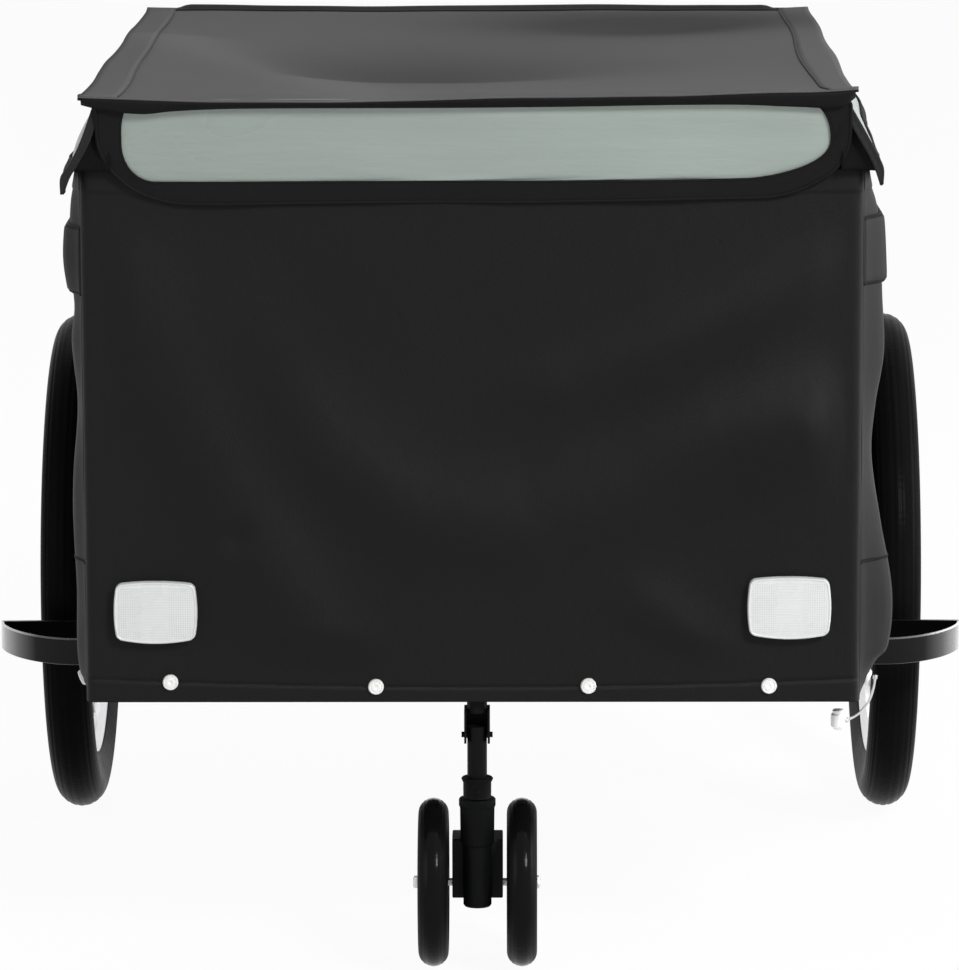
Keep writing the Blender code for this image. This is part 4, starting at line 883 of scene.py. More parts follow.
class TRAILER_OT_end_walls(bpy.types.Operator):
    """Stretches the front and rear walls of the tub, with their folds, hems and rim bands"""
    bl_idname = "trailer.end_walls"
    bl_label = "Front and rear walls"

    def execute(self, context):
        height = context.scene.trailer_cloth.fold_height
        turn = CORNER_ROUND * pi / 2
        width = CORNERS["left"] + CORNERS["right"] - 2 * CORNER_ROUND + 2 * turn
        places = [turn * i / 8 for i in range(8)] + [turn + (width - 2 * turn) * i / 150 for i in range(151)]
        places += [width - turn + turn * i / 8 for i in range(1, 9)]
        for name, end in ENDS:
            def place(across, z):
                bend = max(turn - across, across - width + turn, 0.0) / CORNER_ROUND
                x = min(max(across, turn), width - turn) - turn + CORNER_ROUND - CORNERS["right"]
                x += CORNER_ROUND * sin(bend) * (1 if across > width / 2 else -1)
                y = end_wall_depth(name, end, height, x, z) - end * CORNER_ROUND * (1 - cos(bend))
                return Vector((x, y, z))
            shape = sheet_mesh(places, wall_rows(0.0040), (1.0, 1.0), place, flip=end > 0)
            wall = cloth(name + "_wall_cloth", shape, CLOTH_THICKNESS, "tub_cloth")
            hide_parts(name + "_wall")
            [self.welt(name, end, label, side) for label, side in SIDES]
        return {"FINISHED"}

    def welt(self, name, end, label, side):
        """The piped seam that joins an end wall to a side wall."""
        seam = FRONT_SEAM if end < 0 else REAR_SEAM
        points = []
        for share in steps(60):
            z = HEM + 0.0010 + share * (RIM - HEM - 0.0020)
            wave = noise.noise(Vector((side * 3.0, z * 14.0, end))) * 0.0006
            points.append(Vector((side * (CORNERS[label] + wave + 0.0002), seam, z)))
        return tube("%s_%s_corner_welt" % (name, label), points, 0.0009, "painted_sheen_cloth")


def side_out(label, y, z):
    """How far out the cloth of a side wall stands, at a place on the wall."""
    ahead = ease((y - FRONT_SEAM) / 0.026)
    behind = ease((REAR_SEAM - y) / 0.045)
    bulge = between(SILHOUETTES[label], z) - CORNERS[label]
    wave = noise.noise(Vector((y * 7.0, z * 11.0, 5.0 if label == "left" else 9.0))) * 0.0022
    wave *= ease((z - 0.215) / 0.04) * ease((0.590 - z) / 0.03)
    lean = 1.0 - 0.12 * ease((y - TUB_FRONT - 0.10) / 0.30)
    edges = 0.0009 * ease((z - RIM_SEAM) / 0.0015) + sewn_edge(HEM_SEAM - 0.004, z, 0.0005, 0.0008)
    return CORNERS[label] + (bulge * lean + wave) * ahead * behind + edges


def side_hem_rise(y):
    """The lower edge of a side wall lifts behind the front to clear the axle."""
    return 0.0045 * ease((y - TUB_FRONT - 0.02) / 0.12)


class TRAILER_OT_side_walls(bpy.types.Operator):
    """Hangs the side walls of the tub, with their soft bulges, welts and wide pocket bands"""
    bl_idname = "trailer.side_walls"
    bl_label = "Side walls"

    def execute(self, context):
        for label, side in SIDES:
            def place(s, z, out=0.0):
                y = FRONT_SEAM + s * SIDE_LENGTH
                lifted = z + side_hem_rise(y) * ease((0.30 - z) / 0.09)
                return Vector((side * (side_out(label, y, lifted) + out), y, lifted))
            shape = sheet_mesh(steps(150), wall_rows(0.0045), (SIDE_LENGTH, 1.0), place, flip=side < 0)
            # The side walls take the lighter cloth with its painted sheen.
            wall = cloth(label + "_wall_cloth", shape, CLOTH_THICKNESS, "painted_sheen_cloth")
            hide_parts(label + "_wall")
            for name, radius, low, rise, out in (("wall", 0.0012, SIDE_SEAM, 0.004, 0.0004),
                                                 ("rim", 0.0016, RIM - 0.0012, 0.0, 0.0002)):
                points = [place(s, low + rise * s, out) for s in steps(90)]
                tube("%s_%s_welt" % (label, name), points, radius, "trim")
            self.band(label, side)
        return {"FINISHED"}

    def band(self, label, side):
        """The wide band across a side wall, doubled cloth that stands a little proud."""
        bottom, top = BANDS[label]

        def place(s, v, more=0.0):
            y = FRONT_SEAM + 0.0004 + s * (SIDE_LENGTH - 0.0008)
            low = bottom + 0.0008 * sin(9.0 * s)
            z = low + (top - low) * v
            lift = 0.0028 * ease(min(v, 1 - v) * 14.0) + 0.0012
            lift *= 0.25 + 0.75 * ease(min(s, 1 - s) * SIDE_LENGTH / 0.03)
            return Vector((side * (side_out(label, y, z) + lift + more), y, z))
        shape = sheet_mesh(steps(110), steps(16), (SIDE_LENGTH, top - bottom), place, flip=side < 0)
        band = cloth(label + "_pocket_band", shape, 0.0014, "painted_sheen_cloth")
        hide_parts(label + "_side_band")
        parts = [tube("%s_band_%s_binding" % (label, name), [place(s, v, 0.0004) for s in steps(90)], 0.0011,
                      "trim") for name, v in (("lower", 0.03), ("upper", 0.97))]
        top - bottom + 0.006


# Cloth of the cover
COVER_LENGTH = COVER_REAR - COVER_FRONT
BOW_FRONT, BOW_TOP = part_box("front_cover_bow")[1][1:]
BOW_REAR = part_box("rear_cover_bow")[0][1]
COVER_SHIFT = -0.0052
SKIRT_TOP = 0.6450
PANE_TOP = 0.6388
# Places across the front edge, with how far it rises and with the height that its turned-down edge reaches
FRONT_RISE = ((-0.2810, 0.0005), (-0.2000, 0.0004), (-0.1000, 0.0014), (-0.0100, 0.0022), (0.0700, 0.0035),
              (0.1400, 0.0052), (0.2080, 0.0060), (0.2520, 0.0050), (0.2720, 0.0052))
FRONT_DROP = ((-0.2810, 0.6438), (-0.2620, 0.6392), (-0.2350, 0.6368), (-0.2145, 0.6388), (-0.1700, 0.6406),
              (-0.0200, 0.6410), (0.0600, 0.6416), (0.1400, 0.6428), (0.1900, 0.6428), (0.2300, 0.6412),
              (0.2590, 0.6410), (0.2690, 0.6480))
# Each side skirt's line seen from the front: heights with distances from the middle
SKIRT_LINES = {
    "left": ((0.5851, 0.2884), (0.5966, 0.2868), (0.6381, 0.2625), (0.6450, 0.2590)),
    "right": ((0.5785, 0.2930), (0.5911, 0.2912), (0.6000, 0.2860), (0.6180, 0.2772), (0.6450, 0.2640)),
}
SKIRT_BOWS = {"left": 0.0090, "right": 0.0}
# Each side skirt's front hem, from its tab up: heights, distances from the middle and half widths
SKIRT_HEMS = {
    "left": ((0.5851, 0.2884, 0.0010), (0.5962, 0.2866, 0.0032), (0.6057, 0.2824, 0.0034),
             (0.6232, 0.2726, 0.0038), (0.6440, 0.2615, 0.0030)),
    "right": ((0.5785, 0.2940, 0.0010), (0.5911, 0.2914, 0.0034), (0.6000, 0.2854, 0.0030),
              (0.6180, 0.2764, 0.0034), (0.6430, 0.2684, 0.0024)),
}
HEM_THICKNESS = 0.0009


def cover_side(side, y):
    """The cover's side edge, which leans a little to the right towards the back."""
    share = (y - COVER_FRONT) / COVER_LENGTH
    return side * COVER_HALF + COVER_SHIFT + 0.0020 * share + 0.0009 * sin(17.0 * share + side)


def cover_height(sag, x, y):
    """The height of the cover's top sheet: taut over both bows, hollow between them, with a soft ridge."""
    across = max(0.0, 1.0 - ((x - COVER_SHIFT) / (COVER_HALF - 0.030)) ** 4)
    run = min(1.0, max(0.0, (y - BOW_FRONT) / (BOW_REAR - BOW_FRONT)))
    main = bell(x + 0.040, 0.150) * bell(y + 0.070, 0.140)
    second = bell(x - 0.150, 0.130) * bell(y - 0.215, 0.075)
    hollow = 0.35 * sin(pi * run) + 0.85 * main + 0.60 * second
    gap, _ = distance_to_line(((-0.235, 0.060), (-0.190, -0.070), (-0.095, -0.345)), x, y)
    height = BOW_TOP + 0.0012 - sag * (hollow - 0.22 * bell(gap, 0.034)) * across * sin(pi * run) ** 0.5
    corner = abs((x - COVER_SHIFT) / COVER_HALF)
    front = ease((BOW_FRONT - 0.006 - y) / 0.030)
    rear = ease((y - BOW_REAR - 0.006) / 0.030)
    height += front * (0.0014 * corner ** 6 - 0.0020 * (1 - corner ** 4) + 0.0006 * sin(24 * x + 1.0))
    height += between(FRONT_RISE, x) * ease((BOW_FRONT + 0.045 - y) / 0.080)
    height += rear * (0.0016 * corner ** 6 - 0.0006 + 0.0005 * sin(19 * x))
    return height + noise.noise(Vector((x * 16.0, y * 16.0, 1.0))) * 0.0005


class TRAILER_OT_cover(bpy.types.Operator):
    """Spreads the cover's top sheet over its bows, with its side hems, folded front hem and rear band"""
    bl_idname = "trailer.cover"
    bl_label = "Cover sheet"

    def execute(self, context):
        sag = context.scene.trailer_cloth.cover_sag

        def place(u, v, lift=0.0):
            y = COVER_FRONT + 0.0010 + v * (COVER_LENGTH - 0.0020)
            x = cover_side(-1, y) + u * (cover_side(1, y) - cover_side(-1, y))
            return Vector((x, y, cover_height(sag, x, y) + lift))
        width = 2 * COVER_HALF
        sheet = cloth("cover_top_sheet", sheet_mesh(steps(130), steps(160), (width, COVER_LENGTH), place),
                      CLOTH_THICKNESS, "cover_cloth", "cover")
        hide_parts("cover_top")
        parts = [self.side_hem(label, side, place) for label, side in SIDES]
        parts += [self.side_seam(label, side, place) for label, side in SIDES]
        parts += [self.end_hem("front", 0.0, place, 0.0024), self.end_hem("rear", 1.0, place, 0.0036)]
        parts += [self.front_drop(place), self.rear_tape(place)]
        return {"FINISHED"}

    def hem_edge(self, side, v, share=1.0):
        """Where across the sheet the wavy inner seam of a side hem lies, or a share of the way to it."""
        if side < 0:
            return (0.051 - 0.009 * v + 0.0012 * sin(9.0 * v)) * share
        return 1 - (0.039 + 0.006 * v + 0.010 * bell(v - 0.38, 0.16) + 0.0010 * sin(17.0 * v)) * share

    def side_hem(self, label, side, place):
        shape = sheet_mesh(steps(5), steps(120), (0.032, COVER_LENGTH),
                           lambda u, v: place(self.hem_edge(side, v, 1 - u), v, 0.0011))
        return cloth(label + "_cover_hem", shape, HEM_THICKNESS, "cover_cloth", "cover")

    def side_seam(self, label, side, place):
        points = [place(self.hem_edge(side, v), 0.004 + 0.992 * v, 0.0012) for v in steps(100)]
        return tube(label + "_cover_seam", points, 0.0006, "seam", "cover", resolution=2)

    def front_drop(self, place):
        """The turned-down front edge, which hangs over the top of the front pane."""
        def drop(u, v):
            edge = place(0.004 + 0.992 * u, 0.0) - Vector((0, 0, 0.0008))
            low = min(between(FRONT_DROP, edge.x), edge.z - 0.0010)
            return Vector((edge.x, edge.y - 0.0010 + 0.0050 * v ** 1.5, edge.z + (low - edge.z) * v))
        shape = sheet_mesh(steps(130), steps(5), (2 * COVER_HALF, 0.010), drop)
        return cloth("front_cover_drop", shape, HEM_THICKNESS, "trim", "cover")

    def rear_tape(self, place):
        """The dark tape sewn along the rear edge, from side hem to side hem."""
        def tape(u, v):
            rise = 0.0008 + 0.0034 * ease(v) * ease(min(u, 1 - u) / 0.025)
            return place(0.042 + 0.912 * u, 0.980 + 0.019 * v + 0.003 * sin(9.0 * u) * (1 - v), rise)
        shape = sheet_mesh(steps(110), steps(4), (2 * COVER_HALF, 0.019), tape)
        return cloth("rear_cover_tape", shape, HEM_THICKNESS, "trim", "cover")

    def end_hem(self, name, v, place, drop):
        """A rolled hem along an end of the sheet, with its dark inner side below the edge."""
        inward = 0.010 if v < 0.5 else -0.010
        rings = []
        for i, u in enumerate(steps(120)):
            point = place(u, v) - Vector((0, 0, drop * (0.42 + 0.10 * sin(i * 0.31))))
            turns = [2 * pi * a / 10 for a in range(10)]
            rings.append([point + Vector((0, inward * (0.35 - 0.45 * cos(a)), drop * (0.5 * sin(a) - 0.15)))
                          for a in turns])
        shape = woven(rings, lambda a, b: (b * 2 * COVER_HALF / 120, a * 0.0012), closed=True)
        shape.verts.ensure_lookup_table()
        shape.faces.new(list(reversed(shape.verts[:10])))
        shape.faces.new(shape.verts[-10:])
        bmesh.ops.recalc_face_normals(shape, faces=shape.faces)
        return piece(name + "_cover_hem", shape, "trim", "cover", angle=60)


def rounded_loop(low, high, corners, counts):
    """A closed loop round a rectangle, from its upper left corner down and round. Low and high are two of its
    corners, and each corner is rounded by its own width and height."""
    (x0, z0), (x1, z1) = low, high
    sides, ends, bend = counts
    (a, b), (c, d), (e, f), (g, h) = corners
    found = [(x0, z1 - h - (z1 - h - z0 - b) * i / sides) for i in range(sides)]
    found += corner_points(x0 + a, z0 + b, (a, b), pi, bend)
    found += [(x0 + a + (x1 - x0 - a - c) * i / ends, z0) for i in range(ends)]
    found += corner_points(x1 - c, z0 + d, (c, d), 1.5 * pi, bend)
    found += [(x1, z0 + d + (z1 - f - z0 - d) * i / sides) for i in range(sides)]
    found += corner_points(x1 - e, z1 - f, (e, f), 0.0, bend)
    found += [(x1 - e - (x1 - x0 - e - g) * i / ends, z1) for i in range(ends)]
    found += corner_points(x0 + g, z1 - h, (g, h), 0.5 * pi, bend)
    return found


def corner_points(x, z, radii, start, count):
    turns = [start + pi / 2 * i / count for i in range(count)]
    return [(x + radii[0] * cos(turn), z + radii[1] * sin(turn)) for turn in turns]


def inside_ring(outer, inner, share):
    """The loop that lies this share of the way from one loop to another of as many points."""
    return [(o[0] + (i[0] - o[0]) * share, o[1] + (i[1] - o[1]) * share) for o, i in zip(outer, inner)]


def border_mesh(outer, inner, place, rows=8):
    """A ring of cloth between two loops of as many points, laid on place(s, z)."""
    run = [0.0]
    for a, b in zip(outer, outer[1:] + outer[:1]):
        run.append(run[-1] + hypot(b[0] - a[0], b[1] - a[1]))
    wide = hypot(outer[0][0] - inner[0][0], outer[0][1] - inner[0][1])
    points = [[place(s, z) for s, z in inside_ring(outer, inner, share)] for share in steps(rows)]
    return woven(points, lambda a, b: (run[a], wide * b / rows), closed=True)


def level_span(loop, z):
    """From where to where a closed loop reaches at a level."""
    heights = [p[1] for p in loop]
    z = min(max(z, min(heights) + 0.0004), max(heights) - 0.0004)
    found = []
    for (x0, z0), (x1, z1) in zip(loop, loop[1:] + loop[:1]):
        if (z0 - z) * (z1 - z) <= 0 and z0 != z1:
            found.append(x0 + (x1 - x0) * (z - z0) / (z1 - z0))
    return min(found), max(found)


def reach(loop, axis):
    """The lowest and highest number of a loop's points along an axis."""
    numbers = [p[axis] for p in loop]
    return min(numbers), max(numbers)


def hung_skirt(name, body, outer, inner, place, more=()):
    """A skirt of the cover: its bound border, the clear pane sewn behind it, and the edge between them."""
    shape = border_mesh(outer, inner, place)
    area = sum(face.calc_area() for face in shape.faces)
    border = cloth(name + "_skirt_border", shape, 0.0014, "trim", body)
    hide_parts(name + "_skirt", name + "_window")
    lap = 0.004
    (left, right), (low, high) = reach(inner, 0), reach(inner, 1)
    width, low, high = right - left + 2 * lap, low - lap, high + 0.003

    def pane_place(u, v):
        z = low + (high - low) * v
        start, end = level_span(inner, z)
        s = start - lap + (end - start + 2 * lap) * u
        away = min(min(u, 1 - u) * width, min(v, 1 - v) * (high - low))
        billow = 0.0016 * ease(away / 0.018) * (0.5 + 0.5 * sin(s * 31.0 + z * 40.0))
        return place(s, z, -0.0016 + billow * 0.8)
    parts = [cloth(name + "_pane_sheet", sheet_mesh(steps(100), steps(18), (width, high - low), pane_place),
                   0.0006, "pane", body), *more]
    for label, loop, radius in (("binding", outer, 0.0013), ("pane_edge", inner, 0.0009)):
        points = [place(x, z, 0.0002) for x, z in loop]
        parts.append(tube("%s_skirt_%s" % (name, label), points, radius, "trim", body, cyclic=True))
    (left, right), (low_edge, high_edge) = reach(outer, 0), reach(outer, 1)
    flat = (right - left + 0.002, (high_edge - low_edge) * 1.04 + 0.002)
    max(area, 0.31 * flat[0] * flat[1])


class TRAILER_OT_end_skirts(bpy.types.Operator):
    """Hangs the cover's front and rear skirts, each with a clear pane in a wide border"""
    bl_idname = "trailer.end_skirts"
    bl_label = "Front and rear skirts"

    def execute(self, context):
        counts = (8, 46, 14)
        for name, end in ENDS:
            top_y, low_y = [corner[1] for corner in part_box(name + "_skirt")][::-end]

            def place(x, z, out=0.0):
                share = (SKIRT_TOP - z) / (SKIRT_TOP - 0.5700)
                y = top_y + (low_y - top_y) * share - end * 0.0016
                ripple = 0.0012 * share * sin(x * 21.0 + end) + 0.0006 * sin(x * 60.0)
                return Vector((x, y + end * (out + ripple * share), z))
            inner = rounded_loop((-0.2522, 0.5862), (0.2528, 0.6434),
                                 ((0.024, 0.027), (0.075, 0.030), (0.016, 0.026), (0.008, 0.022)), counts)
            outer = rounded_loop((-0.2690, 0.5716), (0.2660, SKIRT_TOP),
                                 ((0.066, 0.050), (0.066, 0.050), (0.004, 0.004), (0.004, 0.004)), counts)
            outer = [(x, z + self.hem_rise(x) * ease((0.6000 - z) / 0.02)) for x, z in outer]
            inner = [(x, z + 0.3 * self.hem_rise(x) * ease((0.6100 - z) / 0.02)) for x, z in inner]
            body, more = ("cover", ()) if end < 0 else ("trailer", self.turnover())
            hung_skirt(name, body, outer, inner, place, more)
        return {"FINISHED"}

    def turnover(self):
        """The cloth from the rear skirt's top to the line that the cover turns on, and the piping there."""
        low_y, high_y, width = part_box("rear_skirt")[1][1] - 0.0032, COVER_REAR - 0.0010, 0.528

        def turned_over(u, v):
            return Vector((width * (u - 0.5), low_y + (high_y - low_y) * v,
                           SKIRT_TOP - 0.0006 + 0.0010 * v * v))
        shape = sheet_mesh(steps(60), steps(5), (width, 0.012), turned_over)
        line = [Vector((0.530 * (u - 0.5), COVER_REAR + 0.0004, COVER_TOP - 0.0012)) for u in steps(50)]
        return [cloth("rear_skirt_turnover", shape, HEM_THICKNESS, "trim"),
                tube("rear_skirt_piping", line, 0.0016, "trim")]

    def hem_rise(self, x):
        """The lower hem is higher at the left and a little lower at the right than in the middle."""
        return 0.0030 * ease((x - 0.02) / 0.20) - 0.0012 * ease((-0.05 - x) / 0.15)


class TRAILER_OT_side_skirts(bpy.types.Operator):
    """Hangs the cover's side skirts, which flare out behind their front hems"""
    bl_idname = "trailer.side_skirts"
    bl_label = "Side skirts"

    def execute(self, context):
        counts = (8, 60, 8)
        for label, side in SIDES:
            front, rear = [corner[1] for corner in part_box(label + "_skirt")]

            def place(y, z, out=0.0):
                share = (SKIRT_TOP - z) / 0.0580
                held = ease((y - front) / 0.040) * ease((rear - y) / 0.040)
                flare = 0.0062 * held * sin(pi * min(1.0, 0.25 + 0.62 * share))
                ripple = 0.0014 * share * sin(y * 26.0 + side) * held
                bow = SKIRT_BOWS[label] * share * ease((y + 0.27) / 0.30) * ease((rear - y) / 0.12)
                return Vector((side * (between(SKIRT_LINES[label], z) + flare + ripple + bow + out), y, z))
            inner = rounded_loop((front + 0.0055, 0.6015), (rear - 0.0130, PANE_TOP),
                                 ((0.012, 0.012), (0.016, 0.016), (0.005, 0.005), (0.005, 0.005)), counts)
            outer = rounded_loop((front + 0.0010, 0.5870), (rear - 0.0010, SKIRT_TOP),
                                 ((0.010, 0.010), (0.010, 0.010), (0.004, 0.004), (0.004, 0.004)), counts)
            outer = [(y, z - self.tip_drop(side, y, front) * ease((0.6080 - z) / 0.02)) for y, z in outer]
            self.front_hem(label, side, front)
            self.tuck(label, side, front)
            hung_skirt(label, "cover", outer, inner, place)
        return {"FINISHED"}

    def front_hem(self, label, side, front):
        """The doubled hem down a side skirt's front edge, which ends in a tab."""
        stops = SKIRT_HEMS[label]
        low, high = stops[0][0], stops[-1][0]

        def hem(u, v):
            z = low + (high - low) * v
            out = between([(a, b) for a, b, _ in stops], z)
            half = between([(a, c) for a, _, c in stops], z)
            return Vector((side * (out + (2 * u - 1) * half), front - 0.0006 + 0.0030 * u * (1 - u), z))
        shape = sheet_mesh(steps(4), steps(30), (0.007, high - low), hem)
        cloth(label + "_skirt_front_hem", shape, 0.0011, "painted_sheen_cloth", "cover")

    def tuck(self, label, side, front):
        """The tucked cloth between the front skirt and a side skirt, near black as painted shade in that gap.
        """
        def tucked(u, v):
            z = 0.5945 + (SKIRT_TOP - 0.5945) * v
            out = between(SKIRT_LINES[label], z) - 0.0012
            start = min(0.2600, out - 0.002)
            return Vector((side * (start + (out - start) * u), front + 0.0030 + 0.0025 * sin(pi * u), z))
        cloth(label + "_corner_tuck", sheet_mesh(steps(8), steps(16), (0.02, 0.050), tucked), HEM_THICKNESS,
              "painted_shade_lining", "cover")

    def tip_drop(self, side, y, front):
        """How far the hem's front tip hangs below the rest of it."""
        return (0.0035 if side > 0 else 0.0090) * ease((front + 0.030 - y) / 0.028)


# Snaps of the hem: across and up at the front, across at the rear, along at the sides
FRONT_SNAPS = ((-0.2218, 0.2216), (-0.0730, 0.2182), (0.0808, 0.2187), (0.2114, 0.2187))
REAR_SNAPS = (-0.2130, -0.0770, 0.0770, 0.2130)
SIDE_SNAPS = (-0.3433, -0.1600, -0.0300)


class TRAILER_OT_snaps(bpy.types.Operator):
    """Presses the white snap fasteners into the lower hem, all round the tub"""
    bl_idname = "trailer.snaps"
    bl_label = "Hem snaps"

    def execute(self, context):
        for i, (x, z) in enumerate(FRONT_SNAPS):
            button = self.snap("front", i, (x, TUB_FRONT + 0.0003, z), (0, -1, 0))
            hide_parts("front_snap_%d" % (i + 1))
        for i, x in enumerate(REAR_SNAPS):
            self.snap("rear", i, (x, TUB_REAR - 0.0003, 0.2188), (0, 1, 0))
        for label, side in SIDES:
            for i, y in enumerate(SIDE_SNAPS):
                z = 0.2186 + (side_hem_rise(y) if i else 0.0)
                out = side_out(label, y, z) + CLOTH_THICKNESS / 2 - 0.0002
                rise = side_out(label, y, z + 0.003) - side_out(label, y, z - 0.003)
                away = Vector((side * 0.006, 0, -rise)).normalized()
                button = self.snap(label, i, (side * out, y, z), away)
                if i == 0:
                    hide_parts(label + "_side_snap")
        return {"FINISHED"}

    def snap(self, where, i, place, away):
        """A domed cap with a rolled rim, a ring groove and a small dimple."""
        profile = sized(((0, 2.1), (1.0, 2.1), (1.5, 2.6), (2.7, 2.8), (3.4, 2.6), (3.7, 2.1), (4.1, 2.1),
                         (4.5, 2.6), (5.0, 2.5), (5.5, 1.8), (5.7, 1.0), (5.7, -0.4), (0, -0.4)))
        return turned("%s_snap_%d_cap" % (where, i + 1), profile, 40, "white_plastic", away, Vector(place),
                      own=True)


# Fittings and wheels
REFLECTOR_HALF = (0.0302, 0.0228)
REAR_REFLECTOR_OUT = 0.2285
GUARD_THICKNESS, GUARD_NOSE = 0.0025, 0.062
TYRE_BEAD, CASTER_BEAD = (0.1586, 0.0118), (0.0441, 0.0083)
SPOKES, SPOKE_ROOT, SPOKE_END = 20, 0.0186, 0.1462
SPOKE_SWING = 0.62
CORNER_CAPS = {"front": -0.3680, "rear": 0.2830}
RAIL_RIVETS = (TUB_FRONT + 0.030, -0.010, TUB_REAR - 0.030)


def barrel_outline(inset):
    """A reflector's outline, its four sides bowed and its corners eased, drawn in by an inset."""
    wide, high = [half - inset for half in REFLECTOR_HALF]
    round_by = max(0.0008, 0.0042 - inset)
    found = []
    for x, z in rounded_loop((-wide, -high), (wide, high), ((round_by, round_by),) * 4, (10, 14, 8)):
        bow = 0.14 if z < 0 else 0.08
        found.append((x * (1 - 0.065 * (z / high) ** 2), z * (1 - bow * (x / wide) ** 2)))
    return found


class TRAILER_OT_reflectors(bpy.types.Operator):
    """Sets the white front and red rear reflectors on the tub, with raised rims and patterned lenses"""
    bl_idname = "trailer.reflectors"
    bl_label = "Reflectors"

    def execute(self, context):
        levels = sized(((0.6, 0), (0, 1.0), (0, 5.8), (0.5, 7.0), (1.1, 7.4), (1.6, 7.2), (2.0, 6.9),
                        (11.0, 7.1)))
        for name, end in ENDS:
            for label, side in SIDES:
                node = "%s_%s_reflector" % (name, label)
                x, z = REFLECTOR_PLACES[label] if end < 0 else (side * REAR_REFLECTOR_OUT, middle(node)[2])
                centre = Vector((x, TUB_FRONT + 0.0006 if end < 0 else TUB_REAR - 0.0006, z))
                rings = [[centre + Vector((x, end * height, z)) for x, z in barrel_outline(inset)]
                         for inset, height in levels]
                lens = piece(node + "_lens", ringed(rings), "lens" if end < 0 else "red_lens", angle=30,
                             origin=centre)
                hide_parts(node)
        return {"FINISHED"}


def strip_ring(outer, inner, low, high, edge):
    """A closed flat strip that stands between two loops seen from above, with eased edges."""
    levels = ((0, low + edge), (0, high - edge), (0.3, high), (0.7, high), (1, high - edge), (1, low + edge),
              (0.7, low), (0.3, low))
    return ringed([[(x, y, z) for x, y in inside_ring(outer, inner, share)] for share, z in levels],
                  closed=True)


class TRAILER_OT_guards(bpy.types.Operator):
    """Bends the flat strip guards ahead of the wheels and fixes them with screws"""
    bl_idname = "trailer.guards"
    bl_label = "Wheel guards"

    def execute(self, context):
        head = sized(((0, 1.6), (2.0, 1.5), (3.4, 1.0), (3.8, 0), (0, 0)))
        for label, side in SIDES:
            shape = strip_ring(self.outline(side, 0.0), self.outline(side, GUARD_THICKNESS), GUARD_LOW,
                               GUARD_HIGH, 0.0005)
            guard = piece(label + "_guard_strip", shape, "guard", angle=40)
            self.paint_inner_shade(guard.data, side)
            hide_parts(label + "_wheel_guard")
            for (name, end), y in zip(ENDS, (GUARD_FRONT, GUARD_BACK)):
                turned("%s_guard_%s_screw" % (label, name), head, 28, "steel", (0, end, 0),
                       Vector((side * (GUARD_INNER + 0.012), y, (GUARD_LOW + GUARD_HIGH) / 2)))
        return {"FINISHED"}

    def paint_inner_shade(self, mesh, side):
        """Gives the strip's inner faces their own duller, near-black finish: painted shade inside the D."""
        mesh.materials.append(FINISHES["guard_inner_painted_shade"].material)
        heart = Vector((side * (GUARD_INNER + GUARD_TIP) / 2, (GUARD_FRONT + GUARD_BACK) / 2 + 0.008, 0))
        for face in mesh.polygons:
            inward = heart - face.center
            inward.z = 0
            if abs(face.normal.z) < 0.5 and face.normal.dot(inward) > 0:
                face.material_index = 1

    def outline(self, side, inset):
        """The D of the strip seen from above, drawn in by an inset."""
        inner, tip, end = GUARD_INNER + inset, GUARD_TIP - GUARD_NOSE, GUARD_TIP - inset
        back, depth = GUARD_BACK - inset, GUARD_BACK - GUARD_FRONT - 2 * inset
        points = [(inner + (tip - inner) * i / 24, GUARD_FRONT + inset) for i in range(24)]
        for i in range(41):
            turn = pi / 2 * (1 - i / 40)
            points.append((tip + (GUARD_NOSE - inset) * cos(turn) ** (2 / 1.7),
                           back - depth * sin(turn) ** (2 / 1.7)))
        points += [(end - (end - inner) * i / 40, back) for i in range(1, 40)]
        points += [(inner, back - depth * i / 16) for i in range(16)]
        return [(side * x, y) for x, y in points]


def tyre_section(node, bead, bead_half, groove, count=44):
    """A tyre's section: a rounded tread with grooves, then side walls down to the bead."""
    half, _, radius = half_size(node)
    top = radius - half
    profile = []
    for i in range(count + 1):
        turn = pi / 2 - pi * i / count
        x = half * sin(turn)
        line = min(abs(abs(x) - place) for place in (half * 0.16, half * 0.46, half * 0.70))
        profile.append((top + half * cos(turn) - groove * bell(line, half * 0.035), x))
    side = [(bead, bead_half), (bead + 0.0008, bead_half * 1.08), (bead + 0.004, bead_half * 1.18),
            (top - 0.002, half * 0.985)]
    return profile + [(out, -x) for out, x in reversed(side)] + side


def spun(node, name, profile, count, finish, centre, body, angle=35):
    """A closed ring that spins on a wheel's axle and stands in a node's place."""
    item = turned(name, profile, count, finish, (1, 0, 0), centre, body, closed=True, angle=angle, own=True)
    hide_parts(node)


